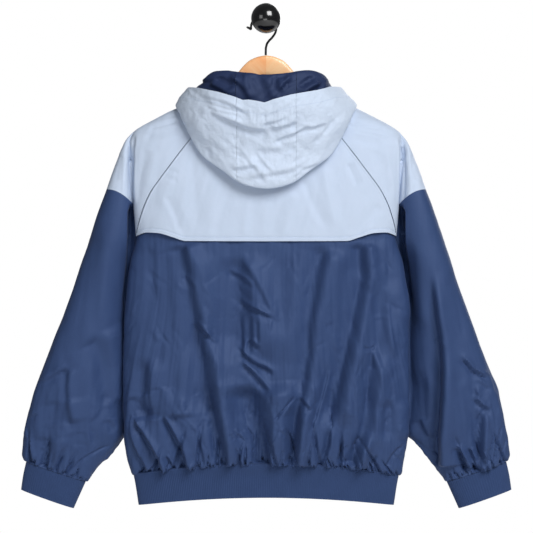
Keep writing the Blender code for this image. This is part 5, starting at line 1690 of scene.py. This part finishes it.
def lining_relief(grid):
    """Relief of the lining, towards the hood's hollow only: folds and crushed cloth."""
    share = down(grid.shape[0] - 1)
    x, drop = grid[..., 0], -grid[..., 2]
    folds = creased(x, drop, LINING_CREASES) + 1.5 * facets(x, drop + 300 * share, 16, 1.6, 0.4, 121)
    shown = fade(share, 0.1, 0.2) * fade(share, 0.97, 0.85) * fade(np.abs(x), 142, 120)
    return shown * (3.4 + np.clip(1.5 * folds, -3.2, 7))


# ---------------------------------------------------------------- stitches


def capsules(name, centres, tangents, normals, length, radius, material):
    """Stitches as one mesh: a six-sided spindle of three rings and two tips for each."""
    sides = 6
    turn = np.linspace(0, 2 * math.pi, sides, endpoint=False)
    stations = np.array([-0.36, 0.0, 0.36]) * length
    radii = np.array([0.8, 1.0, 0.8]) * radius
    crosswise = np.cross(tangents, normals)
    circle = np.cos(turn)[:, None, None] * crosswise + np.sin(turn)[:, None, None] * normals
    rings = [centres + tangents * s + circle * r for s, r in zip(stations, radii)]
    points = np.stack(rings).transpose(2, 0, 1, 3).reshape(len(centres), -1, 3)
    tips = np.stack([centres - tangents * length / 2, centres + tangents * length / 2], axis=1)
    points = np.concatenate([points, tips], axis=1)
    ring = np.arange(sides)
    after = (ring + 1) % sides
    quads = np.concatenate([np.stack([ring + k, after + k, after + k + sides, ring + k + sides], axis=1)
                            for k in (0, sides)])
    triangles = np.concatenate([
        quads[:, [0, 1, 2]], quads[:, [0, 2, 3]],
        np.stack([after, ring, np.full(sides, 3 * sides)], axis=1),
        np.stack([ring + 2 * sides, after + 2 * sides, np.full(sides, 3 * sides + 1)], axis=1),
    ])
    shift = np.arange(len(centres))[:, None, None] * (3 * sides + 2)
    return place(name, points, (triangles[None] + shift).reshape(-1, 3), material)


def evenly(line, normals, pitch):
    """Places every pitch along a line: points, directions and normals."""
    step = np.linalg.norm(np.diff(line, axis=0), axis=1)
    length = summed(step)
    at = np.arange(pitch / 2, length[-1], pitch)
    spots = np.stack([np.interp(at, length, line[:, k]) for k in range(3)], axis=1)
    ups = np.stack([np.interp(at, length, normals[:, k]) for k in range(3)], axis=1)
    tangents = np.stack([np.interp(at, length, np.gradient(line[:, k], length)) for k in range(3)],
                        axis=1)
    tangents /= np.linalg.norm(tangents, axis=1, keepdims=True)
    ups -= tangents * (ups * tangents).sum(axis=1, keepdims=True)
    ups /= np.linalg.norm(ups, axis=1, keepdims=True)
    return spots, tangents, ups


def line_in(grid, axis, from_end, distance):
    """The line at a distance from one edge of a grid, measured along the cloth, and the
    normals on it. axis 0 is the top or bottom edge, 1 the first or last column."""
    if axis == 1:
        grid = grid.transpose(1, 0, 2)
        normals = -grid_normals(grid)
    else:
        normals = grid_normals(grid)
    if from_end:
        grid, normals = grid[::-1], normals[::-1]
    passed = steps_along(grid, 0)
    low = np.clip((passed <= distance).sum(axis=0) - 1, 0, grid.shape[0] - 2)
    column = np.arange(grid.shape[1])
    t = ((distance - passed[low, column]) / (passed[low + 1, column] - passed[low, column]))[:, None]
    return (grid[low, column] * (1 - t) + grid[low + 1, column] * t,
            normals[low, column] * (1 - t) + normals[low + 1, column] * t)


def stitched(name, edge, sizes, finish, slot):
    """A row of stitches on a line in a grid. edge says which: grid, axis, whether it is
    measured from the end, and the distance from there."""
    line, normals = line_in(*edge)
    spots = evenly(line, normals, sizes.stitch_pitch / MM)
    return worn(capsules(name, *spots, STITCH_LENGTH, sizes.stitch_radius / MM, finish), slot)


# ---------------------------------------------------------------- sizes and colours


class JacketSizes(bpy.types.PropertyGroup):
    """Sizes that a user would change."""

    shell: bpy.props.FloatProperty(
        name="Shell thickness", description="Thickness of the woven shell cloth",
        default=0.0008, unit="LENGTH")
    lining: bpy.props.FloatProperty(
        name="Lining thickness", description="Thickness of the hood's lining",
        default=0.0006, unit="LENGTH")
    rib: bpy.props.FloatProperty(
        name="Rib thickness", description="Thickness of the rib knit",
        default=0.002, unit="LENGTH")
    rib_pitch: bpy.props.FloatProperty(
        name="Rib pitch", description="Distance between ribs; the real ones are half of it apart",
        default=0.0032, unit="LENGTH")
    rib_height: bpy.props.FloatProperty(
        name="Rib height", description="How far a rib stands up", default=0.0005, unit="LENGTH")
    stitch_pitch: bpy.props.FloatProperty(
        name="Stitch pitch", description="Distance between stitches",
        default=0.0034, unit="LENGTH")
    stitch_radius: bpy.props.FloatProperty(
        name="Thread radius", description="Half the thickness of the sewing thread",
        default=0.0003, unit="LENGTH")
    creases: bpy.props.FloatProperty(
        name="Creases", description="Height of all creases, 1 as made", default=1.0, min=0.0,
        max=1.5)


class JacketColours(bpy.types.PropertyGroup):
    """Colours as sRGB hex values."""

    navy: bpy.props.StringProperty(
        name="Navy", description="Shell cloth of body and sleeves", default="#2D3F67")
    navy_light: bpy.props.StringProperty(
        name="Navy, worn", description="Lighter patches of it", default="#33476F")
    blue: bpy.props.StringProperty(
        name="Light blue", description="Shell cloth of yokes and shoulders", default="#BCCADD")
    blue_light: bpy.props.StringProperty(
        name="Light blue, worn", description="Lighter patches of it", default="#C3CFE2")
    # The hood's two colours are the light blue cloth's, set lighter as painted light, which brightens the
    # hood where it turns from the key light.
    crushed: bpy.props.StringProperty(
        name="Light blue, crushed", description="The same cloth, crushed, on the hood",
        default="#C4D1E3")
    hood_patches_painted_lighter: bpy.props.StringProperty(
        name="Light blue, crushed and worn", description="Lighter patches of the hood",
        default="#CCD8E9")
    rib: bpy.props.StringProperty(
        name="Rib", description="Knit of band and cuffs", default="#2D4066")
    lining: bpy.props.StringProperty(
        name="Lining", description="Hood lining", default="#1C2A4C")
    # Wood and dark wood are the right arm's grain; the hanger's step paints the left arm's grain darker, as
    # painted shade.
    wood: bpy.props.StringProperty(
        name="Wood", description="Pale grain of the hanger", default="#FFD5A4")
    wood_dark: bpy.props.StringProperty(
        name="Wood, dark", description="Dark grain of the hanger", default="#FFBC80")


def made_once(name, maker, *values):
    """A finish that several operators share."""
    return bpy.data.materials.get(name) or maker(name, *values)


def finishes(context):
    """The finishes of the cloth pieces."""
    c = context.scene.jacket_colours
    return {
        "navy": made_once("nylon_taffeta_navy", woven_shell, c.navy, c.navy_light, 0.35),
        "blue": made_once("nylon_taffeta_light_blue", woven_shell, c.blue, c.blue_light, 0.3),
        # The hood's cloth is the yoke's, crushed; its colours are set lighter as painted light, which
        # brightens the hood where it turns from the key light.
        "crushed_blue_painted_lighter": made_once("nylon_taffeta_light_blue_crushed", woven_shell, c.crushed,
                                  c.hood_patches_painted_lighter, 2.4, 0.6, 12.0),
        "rib": made_once("rib_knit_navy", rib_knit, c.rib, "#32466F"),
        "lining": made_once("lining_taffeta_navy", woven_shell, c.lining, "#2A3557", 0.3, 0.5),
        "navy_thread": made_once("polyester_thread_navy", thread, "#2A3A62"),
        "blue_thread": made_once("polyester_thread_light_blue", thread, "#B4C6E2"),
    }


def worn(piece, slot, *nodes, body=JACKET):
    """Says what a piece rides on and replaces; slot, the finish it takes, is not used."""
    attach(piece, body)
    if nodes:
        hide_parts(*nodes)
    return piece


# ---------------------------------------------------------------- operators


class JACKET_OT_body(bpy.types.Operator):
    """Back and fronts of the body, from the yokes to the hem band"""

    bl_idname = "jacket.make_body"
    bl_label = "Body"

    def execute(self, context):
        sizes = context.scene.jacket_sizes
        navy = finishes(context)["navy"]
        back = back_body_grid()
        relief = relief_on(back, False, "body") * sizes.creases
        covered = steps_along(back, 0)
        relief *= 0.15 + 0.85 * fade(covered, 1, 14)  # calm where the flap covers it
        back = raised(back, gathered_in(back, relief))
        piece = worn(walled("back_body_cloth", back, sizes.shell / MM, navy), "navy_shell", "back_body")
        left = front_body_grid()
        right = mirrored(left)
        for side, grid in (("left", left), ("right", right)):
            relief = relief_on(grid, False, "body") * sizes.creases
            relief *= fade(np.abs(grid[..., 0]), 5, 30)
            grid = raised(grid, gathered_in(grid, relief))
            cloth = walled(f"front_body_{side}_cloth", grid, sizes.shell / MM, navy)
            worn(cloth, "navy_shell", f"front_body_{side}")
            stitched(f"zip_{side}_stitches", (grid, 1, side == "left", ZIP_STITCH_INSET), sizes,
                     finishes(context)["navy_thread"], "navy_shell")
        return {"FINISHED"}


class JACKET_OT_yokes(bpy.types.Operator):
    """Back yoke with its free flap, and the two front yokes"""

    bl_idname = "jacket.make_yokes"
    bl_label = "Yokes"

    def execute(self, context):
        sizes = context.scene.jacket_sizes
        made = finishes(context)
        grid = back_yoke_grid()
        relief = relief_on(grid, False, "upper") * sizes.creases
        from_edge = steps_along(grid[::-1], 0)[::-1]
        # the stitches pull a groove into the hem, which is thicker below them
        groove = 0.6 * np.exp(-(((from_edge - FLAP_STITCH_INSET) / 1.3) ** 2))
        relief = relief - groove + 0.5 * fade(from_edge, FLAP_STITCH_INSET, 5)
        # the raglan seams lie in a deep fine line with a soft ridge beside it
        from_seam = np.minimum(steps_along(grid, 1), steps_along(grid[:, ::-1], 1)[:, ::-1])
        ridge = 0.5 * np.exp(-(((from_seam - 4) / 2) ** 2))
        relief = relief - 2.0 * np.exp(-((from_seam / 1.4) ** 2)) + ridge
        grid = raised(grid, relief)
        cloth = worn(walled("back_yoke_cloth", grid, sizes.shell / MM, made["blue"]),
                     "light_blue_shell", "back_yoke")
        stitched("flap_stitches", (grid, 0, True, FLAP_STITCH_INSET), sizes, made["blue_thread"],
                 "light_blue_shell")
        left = front_yoke_grid()
        for side, grid in (("left", left), ("right", mirrored(left))):
            relief = relief_on(grid, False, "upper") * sizes.creases
            relief *= fade(np.abs(grid[..., 0]), 5, 25)
            cloth = walled(f"front_yoke_{side}_cloth", raised(grid, relief), sizes.shell / MM, made["blue"])
            worn(cloth, "light_blue_shell", f"front_yoke_{side}")
        return {"FINISHED"}


class JACKET_OT_sleeves(bpy.types.Operator):
    """Raglan shoulders, lower sleeves and cuffs"""

    bl_idname = "jacket.make_sleeves"
    bl_label = "Sleeves"

    def execute(self, context):
        sizes = context.scene.jacket_sizes
        made = finishes(context)
        shoulder, sleeve = shoulder_grid(), sleeve_grid()
        ribs = int(CUFF_ROUND / (sizes.rib_pitch / MM))
        cuff = cuff_grid(12, ribs * RIB_CELLS)
        for side, turned in (("left", lambda grid: grid), ("right", mirrored)):
            grid = turned(shoulder)
            relief = relief_on(grid, False, "upper") * sizes.creases
            cloth = walled(f"shoulder_{side}_cloth", raised(grid, relief), sizes.shell / MM,
                           made["blue"], every=1)
            worn(cloth, "light_blue_shell", f"shoulder_{side}")
            grid = turned(sleeve)
            relief = relief_on(grid, True, side) * sizes.creases
            relief = gathered_in(grid, relief * fade(steps_along(grid, 0), 0, 30))
            cloth = walled(f"sleeve_{side}_cloth", raised(grid, relief, True), sizes.shell / MM,
                           made["navy"], around=True)
            worn(cloth, "navy_shell", f"sleeve_{side}")
            grid = turned(cuff)
            turn = np.arange(grid.shape[1]) / RIB_CELLS
            ridge = np.broadcast_to(np.cos(2 * math.pi * turn)[None, :], grid.shape[:2])
            grid = raised(grid, ridge * sizes.rib_height / 2 / MM, True)
            cloth = walled(f"cuff_{side}_knit", grid, sizes.rib / MM, made["rib"], around=True)
            worn(cloth, "navy_rib", f"cuff_{side}")
        return {"FINISHED"}


class JACKET_OT_band(bpy.types.Operator):
    """Rib knit band round the hem"""

    bl_idname = "jacket.make_band"
    bl_label = "Hem band"

    def execute(self, context):
        sizes = context.scene.jacket_sizes
        ribs = int(BAND_ROUND / (sizes.rib_pitch / MM)) // 4 * 4
        grid = band_grid(12, ribs * RIB_CELLS)
        ridge = np.cos(2 * math.pi * np.arange(grid.shape[1]) / RIB_CELLS)[None, :]
        relief = np.broadcast_to(ridge * sizes.rib_height / 2 / MM, grid.shape[:2])
        cloth = walled("hem_band_knit", raised(grid, relief), sizes.rib / MM, finishes(context)["rib"])
        worn(cloth, "navy_rib", "hem_band")
        return {"FINISHED"}


class JACKET_OT_hood(bpy.types.Operator):
    """Hood thrown back over the shoulders: three shell panels and three lining panels"""

    bl_idname = "jacket.make_hood"
    bl_label = "Hood"

    def execute(self, context):
        sizes = context.scene.jacket_sizes
        made = finishes(context)
        cuts = {"centre": ((0.104, 0.46), 0.0478), "left": ((0.26, 0.36), 0.058)}
        cuts["right"] = cuts["left"]
        for name, grid in hood_grids().items():
            relief = hood_relief(grid) * sizes.creases
            outer = raised(grid, relief)
            cloth = walled(f"hood_{name}_cloth", outer, sizes.shell / MM, made["crushed_blue_painted_lighter"])
            worn(cloth, "light_blue_shell", f"hood_{name}")
            stitched(f"hood_{name}_stitches", (outer, 0, True, CASING_WIDTH), sizes,
                     made["blue_thread"], "light_blue_shell")
            sunk = lowest_near(relief, 4) - LINING_BEHIND - sizes.shell / MM
            inward = raised(grid, sunk)[::2, ::2][:, ::-1]
            inward = raised(inward, lining_relief(inward) * sizes.creases)
            cloth = walled(f"lining_{name}_cloth", inward, sizes.lining / MM, made["lining"])
            worn(cloth, "navy_lining", f"lining_{name}")
        return {"FINISHED"}


class JACKET_OT_hanger(bpy.types.Operator):
    """Wooden hanger with its wire hook"""

    bl_idname = "jacket.make_hanger"
    bl_label = "Hanger"

    def execute(self, context):
        colours = context.scene.jacket_colours
        share = np.linspace(0, 1, 80)
        column = {name: along(share, values) for name, values in ARM.items()}
        column["x"][0] = 0.01
        middle = (column["top"] + column["bottom"]) / 2
        half_height = (column["bottom"] - column["top"]) / 2
        turn = np.linspace(0, 2 * math.pi, 33)[:-1]
        corner = 2 / 3.4
        out, up = signed_power(np.cos(turn), corner), signed_power(np.sin(turn), corner)
        rings = np.stack([
            np.broadcast_to(column["x"][:, None], (80, 32)),
            column["y"][:, None] + column["thickness"][:, None] / 2 * out,
            -middle[:, None] + half_height[:, None] * up,
        ], axis=-1)
        # The left arm's grain is painted darker than the right arm's: painted shade, as the light falls
        # brighter on the right arm.
        for side, sign, light, dark in (("left", -1, "#FFC894", "#F8AA6C"),
                                        ("right", 1, colours.wood, colours.wood_dark)):
            wood = varnished_beech(f"varnished_beech_{side}", light, dark, sign * 0.75, (0, 0, 0))
            arm = closed_loft(f"hanger_arm_{side}_wood", rings * (sign, 1, 1), wood)
            worn(arm, "hanger_wood", f"hanger_arm_{side}")
        x, z = LOOP_CENTRE
        angles = np.radians(np.linspace(196, -38, 60))
        loop = np.stack([x + LOOP_RADIUS * np.cos(angles), z + LOOP_RADIUS * np.sin(angles)], axis=1)
        knots = np.array([(-34.5, -12.6), (-31.5, -13.4), (-28.4, -15.2), *loop[2:].tolist(),
                          (9.6, -31.8), (5.5, -35.5), (1.2, -41.5), (-0.6, -48.5), (-0.8, -56),
                          (-0.8, -61.2)])
        length = summed(np.hypot(*np.diff(knots, axis=0).T))
        at = np.linspace(0, length[-1], 180)
        line = np.stack([np.interp(at, length, knots[:, 0]), np.full(180, HANGER_Y),
                         np.interp(at, length, knots[:, 1])], axis=1)
        for _ in range(6):
            line[1:-1] = (line[:-2] + 2 * line[1:-1] + line[2:]) / 4
        radii = WIRE_RADIUS * np.sqrt(np.clip((np.arange(180) + 0.3) / 4, 0, 1))
        wire = tube("hanger_hook_wire", line, radii, 18, coated_wire("powder_coated_wire", "#0B0B0C"))
        worn(wire, "black_wire", "hanger_hook")
        return {"FINISHED"}


class JACKET_OT_peg(bpy.types.Operator):
    """Wall peg: plate, stem and ball"""

    bl_idname = "jacket.make_peg"
    bl_label = "Wall peg"

    def execute(self, context):
        gloss = lacquered("black_lacquer", "#050506")
        centre = -BALL_CENTRE_Y
        ball_back = centre - math.sqrt(BALL_RADIUS**2 - STEM_RADIUS**2)
        turns = np.linspace(math.asin(STEM_RADIUS / BALL_RADIUS), math.pi - 0.02, 60)
        profiles = {
            "peg_plate": [(0.1, 19.6), (0.4, PLATE_RADIUS), (4.2, PLATE_RADIUS), (5.2, 19.6),
                          (5.8, 18.9), (PLATE_DEPTH, 18)],
            "peg_stem": [(6.4, 5.9), (7.2, 5.2), (8.5, STEM_RADIUS), (ball_back - 1.2, STEM_RADIUS),
                         (ball_back - 0.4, 4.8)],
            "peg_ball": [(centre - BALL_RADIUS * math.cos(t), BALL_RADIUS * math.sin(t)) for t in turns],
        }
        for name, profile in profiles.items():
            angle = np.linspace(0, 2 * math.pi, TURNED_SIDES, endpoint=False)
            out, radius = np.array(profile).T
            rings = np.stack([
                radius[:, None] * np.cos(angle),
                np.broadcast_to(-out[:, None], (len(out), TURNED_SIDES)),
                radius[:, None] * np.sin(angle),
            ], axis=-1)
            piece = closed_loft(f"{name}_lacquer", rings, gloss)
            worn(piece, "black_gloss", name)
        return {"FINISHED"}


class JACKET_OT_zip(bpy.types.Operator):
    """Front zip: woven tapes, chain with its coil's turns, slider and pull tab"""

    bl_idname = "jacket.make_zip"
    bl_label = "Zip"

    def execute(self, context):
        nodes = frame["nodes"]
        tape = zip_cloth("zip_tape_polyester", "#1F2C4E")
        coil = moulded_coil("zip_coil_nylon", "#26345A")
        metal = plated_metal("zip_slider_plated_zinc", "#3A3B40")
        for name, finish in (("zip_tape_left", tape), ("zip_tape_right", tape), ("zip_chain", coil),
                             ("zip_slider", metal), ("zip_pull_tab", metal)):
            for slot in nodes[name].material_slots:
                slot.material = finish
        # the front face of the chain, as the largest y at each of its levels
        chain = np.empty(len(nodes["zip_chain"].data.vertices) * 3)
        nodes["zip_chain"].data.vertices.foreach_get("co", chain)
        chain = chain.reshape(-1, 3) / MM
        level, row = np.unique(np.round(chain[:, 2], 1), return_inverse=True)
        face = np.full(len(level), -np.inf)
        np.maximum.at(face, row, chain[:, 1])
        drop = np.arange(COIL_PITCH - level[-1], -level[0] - COIL_PITCH, COIL_PITCH)
        y = np.interp(-drop, level, face) - COIL_SUNK
        turn = np.tile([COIL_SLANT, -COIL_SLANT], len(drop))[: len(drop)]
        centres = np.stack([np.zeros(len(drop)), y, -drop], axis=1)
        across = np.stack([np.cos(turn), np.zeros(len(drop)), np.sin(turn)], axis=1)
        outward = np.tile([0.0, 1.0, 0.0], (len(drop), 1))
        turns = capsules("zip_coil_turns", centres, across, outward, COIL_LENGTH, COIL_RADIUS, coil)
        worn(turns, "zip_coil")
        return {"FINISHED"}


class JACKET_OT_stage(bpy.types.Operator):
    """Camera, soft studio light and pale floor"""

    bl_idname = "jacket.make_stage"
    bl_label = "Stage"

    def execute(self, context):
        scene = context.scene
        camera_data = bpy.data.cameras.new("camera")
        camera = bpy.data.objects.new("camera", camera_data)
        scene.collection.objects.link(camera)
        camera_data.sensor_width = SENSOR_WIDTH
        camera_data.lens = SENSOR_WIDTH * (CAMERA_DISTANCE - NEAREST_CLOTH) / SEEN_WIDTH
        camera_data.clip_end = 50.0
        camera.location = (CAMERA_PLACE[0], -CAMERA_DISTANCE, CAMERA_PLACE[1])
        camera.rotation_euler = (math.pi / 2, 0, 0)
        scene.camera = camera
        target = Vector(LIGHT_TARGET)
        for name, spot, size, power in LIGHTS:
            light = bpy.data.lights.new(name, "AREA")
            light.size = size
            light.energy = power
            lamp = bpy.data.objects.new(name, light)
            lamp.location = spot
            lamp.rotation_euler = (target - Vector(spot)).to_track_quat("-Z", "Y").to_euler()
            scene.collection.objects.link(lamp)
        world = bpy.data.worlds.new("studio")
        scene.world = world
        world.use_nodes = True
        tree = world.node_tree
        shown = tree.nodes["Background"]
        shown.inputs["Color"].default_value = (1, 1, 1, 1)
        shown.inputs["Strength"].default_value = 1.0
        soft = add(tree, "Background", {"Color": (0.93, 0.96, 1.0, 1), "Strength": SKY_STRENGTH})
        path = add(tree, "LightPath")
        add(tree, "MixShader", {0: path.outputs["Is Camera Ray"], 1: soft.outputs[0],
                                2: shown.outputs[0]}, tree.nodes["World Output"].inputs["Surface"])
        scene.view_settings.view_transform = "Standard"
        turn = np.linspace(0, 2 * math.pi, FLOOR_SIDES + 1)[:-1]
        ring = np.stack([FLOOR_RADIUS * np.cos(turn), FLOOR_RADIUS * np.sin(turn),
                         np.full(FLOOR_SIDES, -FLOOR_DROP)], axis=1)
        points = np.concatenate([ring, [[0, 0, -FLOOR_DROP]]])
        k = np.arange(FLOOR_SIDES)
        faces = np.stack([k, (k + 1) % FLOOR_SIDES, np.full(FLOOR_SIDES, FLOOR_SIDES)], axis=1)
        pale, tree, shader = new_material("pale_floor_paint", Roughness=0.8)
        base_colour(tree, shader, linear("#F2F2F2"), linear("#F8F8F8"), object_noise(tree, 3))
        place("floor", points, faces, pale)
        return {"FINISHED"}


STEPS = (
    JACKET_OT_stage, JACKET_OT_peg, JACKET_OT_hanger, JACKET_OT_yokes, JACKET_OT_body,
    JACKET_OT_sleeves, JACKET_OT_band, JACKET_OT_hood, JACKET_OT_zip,
)


class JACKET_PT_panel(bpy.types.Panel):
    """Lists the steps of the jacket"""

    bl_label = "Jacket"
    bl_idname = "JACKET_PT_panel"
    bl_space_type = "VIEW_3D"
    bl_region_type = "UI"
    bl_category = "Jacket"

    def draw(self, context):
        for step in STEPS:
            self.layout.operator(step.bl_idname)


CLASSES = (JacketSizes, JacketColours, *STEPS, JACKET_PT_panel)


def register():
    for each in CLASSES:
        bpy.utils.register_class(each)
    bpy.types.Scene.jacket_sizes = bpy.props.PointerProperty(type=JacketSizes)
    bpy.types.Scene.jacket_colours = bpy.props.PointerProperty(type=JacketColours)


def unregister():
    del bpy.types.Scene.jacket_sizes
    del bpy.types.Scene.jacket_colours
    for each in reversed(CLASSES):
        bpy.utils.unregister_class(each)


def main():
    """Registers the add-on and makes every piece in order."""
    register()
    for step in STEPS:
        group, name = step.bl_idname.split(".")
        getattr(getattr(bpy.ops, group), name)()


if __name__ == "__main__":
    main()
